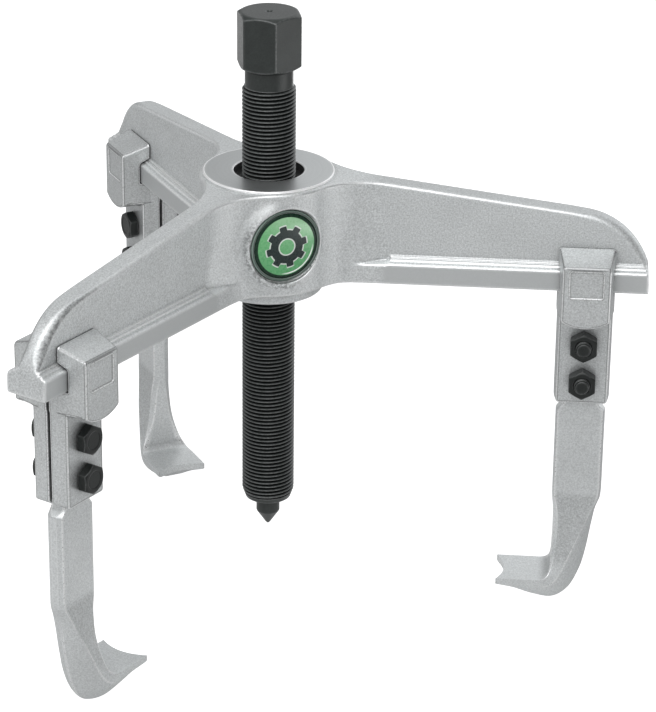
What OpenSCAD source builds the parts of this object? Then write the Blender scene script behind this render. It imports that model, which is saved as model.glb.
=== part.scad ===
// Three-arm gear puller: a one-piece beam with three rails, a pressure spindle
// (20 x 1.5 thread, drawn plain) with a rotating centre point, and three sliding jaws.
// Each jaw is a hook held between two clamp halves by two bolts and nuts.
// Frame: the spindle axis is Z, z = 0 is the machined top face of the hub,
// +Z points along the spindle towards its hexagon, +X along the right arm.
// Names ending in _u are measured along an arm, names ending in _v across it.

/* [Beam] */
// Radius of the machined top face of the hub
hub_r = 24.5; // [23.5:0.5:25]
// Radius of the cast hub body
hub_body_r = 26; // [25.5:0.5:27]
// Height from the top face down to the underside of the rails
rail_drop = 41; // [40.5:0.5:42]
// How far the round foot of the hub stands below the rails
foot_drop = 5.7; // [4:0.1:6]
// Radius of the round foot of the hub
foot_r = 20; // [18:0.5:21]
// Distance from the spindle axis to the end of each arm
arm_len = 142.7; // [140:0.1:150]
// Thickness of the upright web of each arm
web_t = 8.8; // [8:0.2:9.2]
// Width of the rail along the foot of each arm
rail_w = 17; // [16.6:0.1:17.2]
// Height of the upright side of the rail
rail_side = 8; // [7.6:0.1:8.2]
// Height the rail ledge gains between its edge and the web
ledge_rise = 2.2; // [1.6:0.1:2.4]
// Fall of the web's top edge for each millimetre outwards
top_slope = 0.125; // [0.10:0.005:0.13]
// Radius of the rounded nose of each arm
nose_r = 26.4; // [26:0.2:27]
// Radius of the blend between the hub and the side of each arm
blend_r = 30; // [26:1:34]

/* [Spindle] */
// Outside diameter of the spindle thread
thread_d = 20; // [20:20]
// Radial running clearance of the thread in the hub
thread_gap = 0.06; // [0.03:0.01:0.09]
// Diameter of the plain neck below the hexagon
neck_d = 18; // [17.5:0.1:18.1]
// Width across the flats of the hexagon
hex_af = 21.8; // [21.7:0.1:22]
// Height of the top of the hexagon above the hub face
hex_top = 61.1; // [58:0.1:64]
// Height of the underside of the hexagon above the hub face
hex_low = 40; // [38:0.1:44]
// Height of the upper end of the thread above the hub face
thread_top = 33; // [30:0.1:36]
// Depth of the lower end of the spindle below the hub face
thread_low = 134.5; // [130:0.5:138]

/* [Centre point] */
// Diameter of the centre point
tip_d = 9; // [8.6:0.1:9.4]
// Length of the centre point's cylinder below the spindle
tip_len = 6.6; // [6:0.1:8]
// Length of the centre point's cone
tip_cone = 5.9; // [5:0.1:6.4]
// Diameter of the centre point's shank inside the spindle
shank_d = 6; // [5.6:0.1:6.2]
// Length of the centre point's shank
shank_len = 9; // [8:0.5:10]
// Diameter of the thrust ball above the shank
ball_d = 5.5; // [5:0.5:5.5]

/* [Jaws] */
// Distance of the right jaw from the spindle axis
right_pos = 119.5; // [60:0.5:131]
// Distance of the back jaw from the spindle axis
back_pos = 116.5; // [60:0.5:131]
// Distance of the left jaw from the spindle axis
left_pos = 120.5; // [60:0.5:131]
// Half thickness of a jaw over both clamp halves
clamp_v = 16; // [15.6:0.1:16.4]
// Half length of the clamp head along the rail, at the rail
clamp_u = 11; // [10.8:0.1:11.4]
// Half length of the clamp head along the rail, at its outer face
clamp_face_u = 9.2; // [8.8:0.1:9.6]
// Half thickness over the two lower plates
plate_v = 7.6; // [7.2:0.1:8]
// Half width of the lower plates
plate_u = 10.5; // [10:0.1:10.7]
// Depth of the lower end of the plates below the hub face
plate_low = 86.7; // [85:0.1:88]
// Gap between the two clamp halves
clamp_gap = 1.2; // [1:0.1:1.6]
// Running clearance of the clamp on the rail
rail_gap = 0.3; // [0.2:0.05:0.4]

/* [Hooks] */
// Half width of the hook bar along the arm
bar_u = 9.4; // [9:0.1:9.6]
// Half thickness of the hook bar
bar_v = 3.3; // [3:0.1:3.5]
// Half width of the hook's tang between the clamp halves
tang_u = 6.7; // [6.4:0.1:6.9]
// Depth of the claw's gripping face below the hub face
claw_z = 161.7; // [160:0.1:164]
// Distance the claw reaches inwards from the jaw's centre line
claw_reach = 29.8; // [28:0.1:31]
// Half width of the claw
claw_v = 10.2; // [9.8:0.1:10.4]
// Depth of the round notch in the claw's front edge
notch = 3; // [2:0.1:3.4]

/* [Fasteners] */
// Thread diameter of the clamp bolts
bolt_d = 6; // [6:6]
// Width across the flats of the clamp bolts and nuts
nut_af = 10; // [10:10]
// Height of a bolt head
head_h = 4; // [4:0.1:4.2]
// Height of a nut
nut_h = 5; // [4.8:0.1:5.2]
// Length of a bolt under its head
bolt_len = 22; // [21:0.5:23]
// Depth of the upper bolt below the hub face
bolt_z1 = 62.4; // [62:0.1:63]
// Depth of the lower bolt below the hub face
bolt_z2 = 77.6; // [77:0.1:78.4]

/* [Badge] */
// Radius of the badge plate
badge_r = 13.8; // [13:0.1:14]
// Radius of the coloured dome
dome_r = 12.6; // [12:0.1:12.8]
// Sideways offset of the badge on the hub
badge_side = -4.3; // [-4.6:0.1:-4]
// Depth of the badge centre below the hub face
badge_z = 21.2; // [20.8:0.1:22]

/* [Hidden] */
$fn = 64;
arm_angles = [0, 120, 240];           // right, back, left
steel = "lightgrey";
black = "dimgray";
gap = 0.05;                           // fitting gap between neighbouring parts
overlap = 0.01;                       // joins a bolt's shank to its head
bore_r = thread_d / 2 + thread_gap;
hex_corner_r = hex_af / sqrt(3);
nut_corner_r = nut_af / sqrt(3);
rail_low = -rail_drop;

function lerp(a, b, t) = a + (b - a) * t;
function arc(centre, radius, from, to, steps) = [for (i = [0 : steps])
    let (angle = lerp(from, to, i / steps)) centre + radius * [cos(angle), sin(angle)]];
function spin(points, angle) = [for (p = points)
    [p[0] * cos(angle) - p[1] * sin(angle), p[0] * sin(angle) + p[1] * cos(angle)]];

// ---------- beam ----------

web_half = web_t / 2;
nose_angle = 82.9;                    // where the nose meets the web's top edge
nose_centre = [arm_len - nose_r, rail_low + 3];
nose_start = nose_centre + nose_r * [cos(nose_angle), sin(nose_angle)];

// Height of the web's top edge at distance u from the spindle axis
function web_top(u) = nose_start[1] - top_slope * (u - nose_start[0]);

// Plan outline: round hub, three straight arms, concave blends between them
blend_v = web_half + blend_r;
blend_u = sqrt(pow(hub_body_r + blend_r, 2) - blend_v * blend_v);
blend_angle = atan2(blend_v, blend_u);    // where a blend meets the hub
hub_steps = 8;
arm_plan = concat(
    arc([blend_u, -blend_v], blend_r, 180 - blend_angle, 90, 12),
    [[arm_len, -web_half], [arm_len, web_half]],
    arc([blend_u, blend_v], blend_r, -90, blend_angle - 180, 12),
    [for (i = [1 : hub_steps - 1])
        let (angle = lerp(blend_angle, 120 - blend_angle, i / hub_steps))
        hub_body_r * [cos(angle), sin(angle)]]);

module beam_plan() {
    polygon([for (angle = arm_angles) each spin(arm_plan, angle)]);
}

// Outline, along the arm, of what is cut away above its sloped edge and nose
module arm_top_cut() {
    start_u = 40;
    above = 5;
    polygon(concat([[start_u, above], [start_u, web_top(start_u)]],
                   arc(nose_centre, nose_r, nose_angle, 0, 14),
                   [[arm_len + 5, nose_centre[1]], [arm_len + 5, above]]));
}

// Cross-section of the rail: flat foot, upright sides, sloped ledges
module rail_section() {
    half_w = rail_w / 2;
    half_top = web_half - 0.2;
    side_top = rail_low + rail_side;
    polygon([[-half_w, rail_low], [half_w, rail_low], [half_w, side_top],
             [half_top, side_top + ledge_rise], [-half_top, side_top + ledge_rise],
             [-half_w, side_top]]);
}

module beam() {
    body_top = -2;
    cut_w = 26;
    rail_start = 18;
    disc_low = -6;
    foot_low = rail_low - foot_drop;
    foot_top = -30;
    foot_side_r = foot_r + 1;
    boss_start = 12;
    counterbore_r = 13.1;
    counterbore_z = -3.2;
    color(steel) difference() {
        union() {
            difference() {
                translate([0, 0, rail_low]) linear_extrude(rail_drop + body_top) beam_plan();
                for (angle = arm_angles) rotate(angle) rotate([90, 0, 0])
                    translate([0, 0, -cut_w / 2]) linear_extrude(cut_w) arm_top_cut();
            }
            for (angle = arm_angles) rotate(angle) translate([rail_start, 0, 0])
                rotate([90, 0, 90]) linear_extrude(arm_len - rail_start) rail_section();
            // machined top disc and round foot
            rotate_extrude() polygon([[0, disc_low], [hub_r, disc_low], [hub_r, 0], [0, 0]]);
            rotate_extrude() polygon([[0, foot_low], [foot_r - 0.6, foot_low],
                                      [foot_side_r, foot_low + 2], [foot_side_r, foot_top],
                                      [0, foot_top]]);
            // raised round boss that carries the badge
            on_badge_axis(boss_start) cylinder(r = badge_r + 1.6, h = badge_face - boss_start);
        }
        // screw bore with a top counterbore and a lower chamfer
        rotate_extrude() polygon([[0, foot_low - 1], [bore_r + 2.2, foot_low - 1],
                                  [bore_r, foot_low + 1.2], [bore_r, counterbore_z],
                                  [counterbore_r, counterbore_z], [counterbore_r, 1], [0, 1]]);
        // round seat for the badge, and a flat face around it
        on_badge_axis(badge_seat) cylinder(r = badge_r + 0.15, h = 12);
        on_badge_axis(badge_face) cylinder(r = badge_r + 1.8, h = 12);
    }
}

// ---------- badge ----------

badge_face = 24.4;                    // distance of the boss face from the spindle axis
badge_seat = badge_face - 1.4;        // distance of the floor of the badge's seat
recess_z = 1;                         // floor of the plate's recess above its back

// Local z points outwards, between the left and right arms
module on_badge_axis(distance) {
    rotate(-60) translate([distance, badge_side, -badge_z]) rotate([0, 90, 0]) children();
}

module badge_plate() {
    color("black") on_badge_axis(badge_seat + gap) difference() {
        cylinder(r = badge_r, h = 1.9);
        translate([0, 0, recess_z]) cylinder(r = dome_r + 0.1, h = 2);
    }
}

module badge_dome() {
    edge_h = 0.55;
    dome_rise = 1.15;
    steps = 8;
    color("mediumseagreen") on_badge_axis(badge_seat + gap)
        translate([0, 0, recess_z + gap]) rotate_extrude()
        polygon(concat([[0, 0], [dome_r, 0]],
                       [for (i = [0 : steps]) let (angle = 90 * i / steps)
                           // 0.98 keeps the last arc point off the axis
                           [dome_r * cos(angle * 0.98), edge_h + dome_rise * sin(angle)]],
                       [[0, edge_h + dome_rise]]));
}

// ---------- spindle and centre point ----------

spindle_low = -thread_low;
shank_r = shank_d / 2;
ring_z = spindle_low + 3.1;           // underside of the retaining ring
ring_h = 1;

module spindle() {
    thread_r = thread_d / 2;
    hex_turn = -73;
    chamfer_r = 10.3;
    color(black) difference() {
        union() {
            rotate(hex_turn) difference() {
                translate([0, 0, hex_low]) cylinder(r = hex_corner_r, h = hex_top - hex_low, $fn = 6);
                // 30 degree chamfers on both ends of the hexagon
                for (top = [0, 1]) translate([0, 0, top ? hex_top : hex_low])
                    mirror([0, 0, top]) rotate_extrude()
                    polygon([[chamfer_r, -1], [20, -1], [20, 5.6], [chamfer_r, 0]]);
            }
            translate([0, 0, thread_top]) cylinder(d = neck_d, h = hex_low - thread_top + 1);
            rotate_extrude() polygon([[0, spindle_low], [thread_r - 1.3, spindle_low],
                                      [thread_r, spindle_low + 3.6], [thread_r, thread_top - 1],
                                      [thread_r - 1, thread_top], [0, thread_top]]);
        }
        // small conical dimple in the top of the hexagon
        translate([0, 0, hex_top - 1]) cylinder(r1 = 0.2, r2 = 1.3, h = 1.1);
        // bore for the shank and the thrust ball, and the retaining ring's groove
        translate([0, 0, spindle_low - 1])
            cylinder(d = shank_d + 2 * gap, h = 1 + shank_len + ball_d + 0.3);
        translate([0, 0, ring_z - 2 * gap]) cylinder(r = shank_r + 1, h = ring_h + 4 * gap);
    }
}

module centre_point() {
    tip_r = tip_d / 2;
    groove_r = shank_r - 0.8;
    groove_low = ring_z - gap;
    groove_top = ring_z + ring_h + gap;
    shank_top = spindle_low + shank_len;
    color(black) rotate_extrude()
        polygon([[0, spindle_low - tip_len - tip_cone], [tip_r, spindle_low - tip_len],
                 [tip_r, spindle_low - 0.45], [tip_r - 0.4, spindle_low - gap],
                 [shank_r, spindle_low - gap],
                 [shank_r, groove_low], [groove_r, groove_low],
                 [groove_r, groove_top], [shank_r, groove_top],
                 [shank_r, shank_top - 0.3], [shank_r - 0.3, shank_top], [0, shank_top]]);
}

module thrust_ball() {
    color("silver") translate([0, 0, spindle_low + shank_len + ball_d / 2 + gap])
        sphere(d = ball_d);
}

module point_retaining_ring() {
    slot_w = 1.2;
    color("silver") translate([0, 0, ring_z]) difference() {
        cylinder(r = shank_r + 0.85, h = ring_h);
        translate([0, 0, -1]) cylinder(r = shank_r - 0.7, h = 3);
        translate([0, -slot_w / 2, -1]) cube([6, slot_w, 3]);
    }
}

// ---------- clamps ----------
// Jaw frame: x outwards along the arm from the jaw's centre line, y across it, z as the puller.
// The bolt heads are on the +y side, the nuts on the -y side.

// Both bolt axes at a given y; local z points to +y, or to -y when side is -1
module at_bolts(y, side = 1) {
    for (depth = [bolt_z1, bolt_z2]) translate([0, y, -depth]) rotate([-90 * side, 0, 0])
        children();
}
module bolt_holes(start_y) {
    at_bolts(start_y) cylinder(d = bolt_d + 0.2, h = 20);
}

// Plan outline of a clamp head: drafted ends that meet at the split line
module clamp_plan() {
    draft_start = 5;
    polygon([[-clamp_u, clamp_gap / 2], [clamp_u, clamp_gap / 2], [clamp_u, draft_start],
             [clamp_face_u, clamp_v], [-clamp_face_u, clamp_v], [-clamp_u, draft_start]]);
}

// Section of the clamp head across the rail
module clamp_section() {
    low = rail_low - 14;
    rail_v = rail_w / 2 + rail_gap;
    side_top = rail_low + rail_side + rail_gap;
    web_v = web_half + rail_gap;
    polygon([[clamp_gap / 2, low], [clamp_v, low], [clamp_v, rail_low + 12.4],
             [clamp_v - 0.8, rail_low + 13], [web_v + 1, rail_low + 16],
             [web_v, rail_low + 15.4], [web_v, side_top + ledge_rise],
             [rail_v, side_top], [rail_v, rail_low - rail_gap],
             [clamp_gap / 2, rail_low - rail_gap]]);
}

module clamp_head() {
    intersection() {
        rotate([90, 0, 90]) translate([0, 0, -15]) linear_extrude(30) clamp_section();
        translate([0, 0, -70]) linear_extrude(60) clamp_plan();
        // the head's lower edge is a shallow arc
        union() {
            translate([0, 0, rail_low + 4]) rotate([-90, 0, 0]) cylinder(r = 16, h = 20, $fn = 96);
            translate([-15, 0, rail_low - 9]) cube([30, 20, 40]);
        }
    }
}

// Lower plate with bevelled ends and rounded lower corners
module clamp_plate() {
    bevel_start = 4.2;
    bevel_u = plate_u - 0.9;
    corner_r = 2;
    corner_u = plate_u - corner_r;
    above = 5;
    intersection() {
        translate([0, 0, -plate_low - 1]) linear_extrude(plate_low - rail_drop - rail_gap + 1)
            polygon([[-plate_u, clamp_gap / 2], [plate_u, clamp_gap / 2],
                     [plate_u, bevel_start], [bevel_u, plate_v],
                     [-bevel_u, plate_v], [-plate_u, bevel_start]]);
        rotate([-90, 0, 0]) linear_extrude(20) {
            translate([-15, rail_drop - above])
                square([30, plate_low - rail_drop + above - corner_r]);
            translate([-corner_u, rail_drop]) square([2 * corner_u, plate_low - rail_drop]);
            for (side = [-1, 1]) translate([side * corner_u, plate_low - corner_r])
                circle(r = corner_r);
        }
    }
}

// One clamp half on the +y side
module clamp_half() {
    pocket_low = plate_low + 5;
    pocket_top = rail_drop + 8;
    panel_w = 12.2;
    difference() {
        union() {
            clamp_head();
            clamp_plate();
        }
        // pocket for the hook's tang
        translate([-tang_u - gap, -1, -pocket_low])
            cube([2 * (tang_u + gap), 1 + bar_v + gap, pocket_low - pocket_top]);
        bolt_holes(-1);
        // round recess about the upper bolt axis, outside the plate
        translate([0, plate_v + gap, -bolt_z1]) rotate([-90, 0, 0])
            cylinder(r = nut_corner_r + 0.5, h = 20);
        // shallow panel in the outer face
        translate([-panel_w / 2, clamp_v - 0.5, rail_low + 0.5]) cube([panel_w, 2, 10.2]);
    }
}
module clamp_bolt_side() { color(steel) clamp_half(); }
module clamp_nut_side() { color(steel) mirror([0, 1, 0]) clamp_half(); }

// ---------- hooks ----------

// Sections along the bend of the hook's lower part, from the bar to the claw's front edge.
// Columns:
//   inner x, inner z, outer x, outer z: ends of the section, z from the rails' underside
//   inner half width
//   place and half width of a first corner  (place: 0 = inner end, 1 = outer end)
//   place and half width of a second corner
//   outer half width
//   bulge of the outer side                 (0 = straight, 1 = elliptical)
hook_stations = [
  [-bar_u, -84, bar_u, -84, 1.2, 0.05, bar_v, 0.95, bar_v, 1.2, 0],
  [-bar_u + 0.1, -88, bar_u - 0.4, -88, 1.3, 0.06, bar_v + 0.1, 0.94, bar_v + 0.3, 1.1, 0.1],
  [-bar_u + 0.6, -93, bar_u - 1.9, -92.5, 1.8, 0.1, 3.8, 0.9, 4.4, 0.8, 0.4],
  [-8.7, -98, 6.5, -98, 2.5, 0.13, 4.3, 0.81, 5.4, 0.5, 0.7],
  [-8.7, -104, 5.6, -104, 3.2, 0.15, 4.9, 0.68, 6.6, 0.3, 0.85],
  [-8.8, -109.5, 4.5, -111, 4.2, 0.16, 5.9, 0.54, 7.5, 0.2, 0.95],
  [-9.1, -114.5, 2.6, -119, 5.8, 0.16, 7.4, 0.4, 8.4, 0.2, 1],
  [-10.3, -118.4, -1.4, -127.6, 8, 0.12, 9, 0.3, 9.3, 0.3, 1],
  [-12.6, -120.3, -7.4, -131.8, 9.6, 0.1, 9.9, 0.25, 9.9, 0.6, 1],
  [-17.5, -120.4, -15, -130.6, claw_v, 0.08, claw_v, 0.25, claw_v, 1.5, 0.95],
  [-23.5, -120.4, -22.5, -127.2, claw_v, 0.08, claw_v, 0.35, claw_v, 4, 0.85],
  [-claw_reach, -120.4, -claw_reach, -123.6, claw_v, 0.08, claw_v, 0.8, claw_v, 8.8, 0.5]
];
last_station = len(hook_stations) - 1;
station_steps = 3;                    // steps between stations
bulge_steps = 5;                      // steps along the bulge of the outer side
ring_points = 2 * (3 + bulge_steps);
ring_steps = last_station * station_steps;

// Catmull-Rom spline between b and c
function spline(a, b, c, d, t) = 0.5 * ((2 * b) + (c - a) * t
    + (2 * a - 5 * b + 4 * c - d) * t * t + (3 * b - a - 3 * c + d) * t * t * t);
function station(i) = hook_stations[max(0, min(last_station, i))];
function station_at(s) = let (i = min(floor(s), last_station - 1))
    [for (k = [0 : 10])
        spline(station(i - 1)[k], station(i)[k], station(i + 1)[k], station(i + 2)[k], s - i)];

// Half of a section as [place, half width] pairs, from the inner to the outer end
function half_ring(st) = let (place = st[7], half = st[8], outer_half = st[9], bulge = st[10])
    concat([[0, st[4]], [st[5], st[6]], [place, half]],
        [for (j = [1 : bulge_steps]) let (t = j / bulge_steps, angle = 90 * j / bulge_steps)
            [lerp(lerp(place, 1, t), place + (1 - place) * sin(angle), bulge),
             lerp(lerp(half, outer_half, t), outer_half + (half - outer_half) * cos(angle),
                  bulge)]]);
// Whole section as a closed ring of points
function ring(st) = let (
        half = half_ring(st),
        other = [for (i = [len(half) - 1 : -1 : 0]) [half[i][0], -half[i][1]]])
    [for (q = concat(half, other))
        [lerp(st[0], st[2], q[0]), q[1], lerp(st[1], st[3], q[0]) + rail_low]];

module hook_foot() {
    points = [for (i = [0 : ring_steps]) each ring(station_at(i / station_steps))];
    faces = concat(
        [[for (j = [0 : ring_points - 1]) j]],
        [for (i = [0 : ring_steps - 1], j = [0 : ring_points - 1])
            let (a = i * ring_points + j, b = i * ring_points + (j + 1) % ring_points)
            each [[a, a + ring_points, b], [b, a + ring_points, b + ring_points]]],
        [[for (j = [ring_points - 1 : -1 : 0]) ring_steps * ring_points + j]]);
    polyhedron(points, faces);
}

module hook() {
    bar_low = 85;                     // depths below the underside of the rails
    bar_top = 50.6;
    shoulder_top = 48.2;
    tang_top = 9;
    edge_v = 1.2;
    flat_u = bar_u - 0.9;
    shoulder_u = bar_u - 0.4;
    grip_end = 13.4;
    notch_r = (claw_v * claw_v + notch * notch) / (2 * notch);
    color(steel) difference() {
        union() {
            hook_foot();
            // bar with bevelled edges
            translate([0, 0, rail_low - bar_low]) linear_extrude(bar_low - bar_top)
                polygon([[-bar_u, -edge_v], [-bar_u, edge_v], [-flat_u, bar_v], [flat_u, bar_v],
                         [bar_u, edge_v], [bar_u, -edge_v], [flat_u, -bar_v], [-flat_u, -bar_v]]);
            // sloped shoulders and tang
            rotate([90, 0, 0]) translate([0, 0, -bar_v]) linear_extrude(2 * bar_v)
                polygon([[-shoulder_u, rail_low - bar_top], [shoulder_u, rail_low - bar_top],
                         [tang_u, rail_low - shoulder_top], [tang_u, rail_low - tang_top],
                         [-tang_u, rail_low - tang_top], [-tang_u, rail_low - shoulder_top]]);
        }
        // gripping face of the claw
        translate([-claw_reach - 5, -20, -claw_z]) cube([claw_reach + 5 - grip_end, 40, 20]);
        // round notch in the claw's front edge
        translate([-claw_reach + notch - notch_r, 0, -claw_z - 20]) cylinder(r = notch_r, h = 40);
        bolt_holes(-10);
    }
}

// ---------- fasteners ----------

chamfer_h = 0.6;
nut_face_r = nut_af / 2 - 0.2;        // radius of the flat left inside a chamfer

module bolts() {
    color(black) at_bolts(plate_v + gap) {
        intersection() {
            cylinder(r = nut_corner_r, h = head_h, $fn = 6);
            rotate_extrude() polygon([[0, 0], [nut_corner_r, 0], [nut_corner_r, head_h - chamfer_h],
                                      [nut_face_r, head_h], [0, head_h]]);
        }
        translate([0, 0, -bolt_len]) cylinder(d = bolt_d, h = bolt_len + overlap);
    }
}

module nuts() {
    color(black) at_bolts(-plate_v - gap, side = -1) difference() {
        intersection() {
            cylinder(r = nut_corner_r, h = nut_h, $fn = 6);
            rotate_extrude() polygon([[0, 0], [nut_face_r, 0], [nut_corner_r, chamfer_h],
                                      [nut_corner_r, nut_h - chamfer_h], [nut_face_r, nut_h],
                                      [0, nut_h]]);
        }
        translate([0, 0, -1]) cylinder(d = bolt_d + 0.06, h = nut_h + 2);
    }
}

// ---------- placing ----------

module at_right() { rotate(arm_angles[0]) translate([right_pos, 0, 0]) children(); }
module at_back() { rotate(arm_angles[1]) translate([back_pos, 0, 0]) children(); }
module at_left() { rotate(arm_angles[2]) translate([left_pos, 0, 0]) children(); }

beam();
badge_plate();
badge_dome();
spindle();
centre_point();
thrust_ball();
point_retaining_ring();
at_right() clamp_nut_side();  // right_clamp_nut_side
at_right() clamp_bolt_side();  // right_clamp_bolt_side
at_right() hook();  // right_hook
at_right() bolts();  // right_bolts
at_right() nuts();  // right_nuts
at_back() clamp_nut_side();  // back_clamp_nut_side
at_back() clamp_bolt_side();  // back_clamp_bolt_side
at_back() hook();  // back_hook
at_back() bolts();  // back_bolts
at_back() nuts();  // back_nuts
at_left() clamp_nut_side();  // left_clamp_nut_side
at_left() clamp_bolt_side();  // left_clamp_bolt_side
at_left() hook();  // left_hook
at_left() bolts();  // left_bolts
at_left() nuts();  // left_nuts
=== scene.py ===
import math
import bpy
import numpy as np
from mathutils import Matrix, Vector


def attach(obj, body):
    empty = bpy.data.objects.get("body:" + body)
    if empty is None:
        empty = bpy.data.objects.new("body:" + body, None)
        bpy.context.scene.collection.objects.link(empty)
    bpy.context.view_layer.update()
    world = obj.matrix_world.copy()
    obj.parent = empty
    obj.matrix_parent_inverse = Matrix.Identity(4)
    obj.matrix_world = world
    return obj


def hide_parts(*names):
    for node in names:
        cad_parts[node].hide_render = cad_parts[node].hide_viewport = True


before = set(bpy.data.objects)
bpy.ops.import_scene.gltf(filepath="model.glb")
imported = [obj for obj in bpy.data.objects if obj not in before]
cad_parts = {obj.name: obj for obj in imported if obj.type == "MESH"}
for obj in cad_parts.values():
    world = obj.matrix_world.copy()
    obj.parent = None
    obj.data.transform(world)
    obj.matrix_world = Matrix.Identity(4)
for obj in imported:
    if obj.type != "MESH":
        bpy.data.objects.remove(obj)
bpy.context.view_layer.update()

# A puller with three hooked jaws. The origin is the centre of the hub's top face, the spindle
# runs along Z, and the arms point to azimuths 0 (right, +X), 120 (back) and 240 degrees (left).
# Shapes are worked out in millimetres and turned into metres as objects are made; the stage,
# lights and camera are in metres. Most castings are fields, negative inside, that are meshed.

MM = 0.001

# Shared places, mm
RAIL = -41.0              # underside of the rails
THIRD = 2 * math.pi / 3   # angle between arms
COS60, SIN60 = 0.5, 0.8660254
DIAGONAL = 0.7071         # 45 degree direction
BADGE_X = -4.3            # badge centre, sideways from the plane through the spindle
BADGE_Z = -21.2
BADGE_SEAT = 23.0         # badge's seat, out from the spindle at azimuth -60 degrees
BOLT_Z = (-62.4, -77.6)   # the two bolts through each jaw
BOLT_SEAT = 7.65          # where heads and nuts start, out from the jaw's middle plane

# ------------------------------------------------------------------ field tools


def merge(a, b, radius):
    """Union with a fillet."""
    u, v = np.maximum(radius - a, 0), np.maximum(radius - b, 0)
    return np.maximum(radius, np.minimum(a, b)) - np.sqrt(u * u + v * v)


def clip(a, b, radius):
    """Intersection with a rounded edge."""
    u, v = np.maximum(radius + a, 0), np.maximum(radius + b, 0)
    return np.minimum(-radius, np.maximum(a, b)) + np.sqrt(u * u + v * v)


def cut(a, b, radius):
    """a without b, its new edge rounded."""
    return clip(a, -b, radius)


def slant(a, b, toward_a, toward_b):
    """Distance from a sloped plane through a = b = 0 whose normal is (toward_a, toward_b)."""
    return (a * toward_a + b * toward_b) / round(math.hypot(toward_a, toward_b), 3)


def smoothstep(x, start, end):
    """0 at start, 1 at end; start may be the larger."""
    t = np.clip((x - start) / (end - start), 0, 1)
    return t * t * (3 - 2 * t)


def sample(field, points, chunk=400000):
    """Field values at many points, a chunk at a time to spare memory."""
    values = np.empty(len(points))
    for i in range(0, len(points), chunk):
        part = points[i:i + chunk]
        values[i:i + chunk] = field(part[:, 0], part[:, 1], part[:, 2])
    return values


def gradient(field, points, step):
    slopes = np.empty_like(points)
    for i in range(3):
        offset = np.zeros(3)
        offset[i] = step
        ahead, behind = points + offset, points - offset
        slopes[:, i] = field(*ahead.T) - field(*behind.T)
    return slopes / (2 * step)


BLOCK = 8                 # grid steps per block
FAR = 9.0                 # stand-in value for blocks away from the surface
HALF_DIAGONAL = 0.87      # of a unit cube
REACH, REACH_EXTRA = 1.35, 0.6   # margin factor and margin in mm for blocks near the surface
GRID_MARGIN = 2.3         # grid steps outside the given bounds


def sample_grid(field, low, high, step):
    """Field values on a grid, exact only in blocks near the surface."""
    size = step * BLOCK
    blocks = np.ceil((high - low) / size).astype(int) + 1
    centres = [low[i] + size * (np.arange(blocks[i]) + 0.5) for i in range(3)]
    mesh = np.meshgrid(*centres, indexing="ij")
    middle = field(*[axis.ravel() for axis in mesh]).reshape(blocks)
    near = np.abs(middle) < size * HALF_DIAGONAL * REACH + REACH_EXTRA
    values = np.where(middle < 0, -FAR, FAR).astype(np.float32)
    for axis in range(3):
        values = np.repeat(values, BLOCK, axis)
    values = np.pad(values, ((0, 1), (0, 1), (0, 1)), mode="edge")
    exact = np.zeros(values.shape, bool)
    for corner in np.argwhere(near) * BLOCK:
        exact[tuple(slice(c, c + BLOCK + 1) for c in corner)] = True
    values[exact] = sample(field, low + np.argwhere(exact) * step)
    return values


def crossed_cells(inside):
    """Cells with corners on both sides of the surface, and the index of each."""
    n = inside.shape
    corners = np.zeros([c - 1 for c in n], np.uint8)
    for dx in (0, 1):
        for dy in (0, 1):
            for dz in (0, 1):
                corners += inside[dx:n[0] - 1 + dx, dy:n[1] - 1 + dy, dz:n[2] - 1 + dz]
    crossed = (corners > 0) & (corners < 8)
    cells = np.argwhere(crossed)
    index = np.full(crossed.shape, -1, np.int32)
    index[crossed] = np.arange(len(cells))
    return cells, index


def cell_points(values, cells):
    """Mean of the edge crossings of each cell, in grid steps."""
    total = np.zeros((len(cells), 3))
    hits = np.zeros(len(cells))
    unit = np.eye(3, dtype=int)
    for axis in range(3):
        second, third = (axis + 1) % 3, (axis + 2) % 3
        for i in (0, 1):
            for j in (0, 1):
                corner = i * unit[second] + j * unit[third]
                start = cells + corner
                end = start + unit[axis]
                v0 = values[tuple(start.T)].astype(float)
                v1 = values[tuple(end.T)].astype(float)
                hit = (v0 < 0) != (v1 < 0)
                t = v0[hit] / (v0[hit] - v1[hit])
                total[hit] += corner + t[:, None] * unit[axis]
                hits[hit] += 1
    return cells + total / hits[:, None]


def cell_quads(inside, index):
    """One quad round every grid edge that crosses the surface, facing out."""
    n = inside.shape
    unit = np.eye(3, dtype=int)
    quads = []
    for axis in range(3):
        b, c = (axis + 1) % 3, (axis + 2) % 3
        lower, upper = [slice(None)] * 3, [slice(None)] * 3
        lower[axis], upper[axis] = slice(0, n[axis] - 1), slice(1, n[axis])
        edges = np.argwhere(inside[tuple(lower)] != inside[tuple(upper)])
        keep = (edges[:, b] > 0) & (edges[:, c] > 0)
        keep &= (edges[:, b] < n[b] - 1) & (edges[:, c] < n[c] - 1)
        edges = edges[keep]
        round_edge = [edges, edges - unit[b], edges - unit[b] - unit[c], edges - unit[c]]
        quad = np.stack([index[tuple(cell.T)] for cell in round_edge], 1)
        outward = inside[tuple(edges.T)]
        quad[~outward] = quad[~outward][:, ::-1]
        quads.append(quad)
    return np.concatenate(quads)


def seat(field, points, step, times):
    """Move points onto the surface."""
    for _ in range(times):
        value = sample(field, points)
        slope = gradient(field, points, 0.03)
        shift = value / np.maximum((slope * slope).sum(1), 0.2)
        points = points - np.clip(shift, -step, step)[:, None] * slope
    return points


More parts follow.
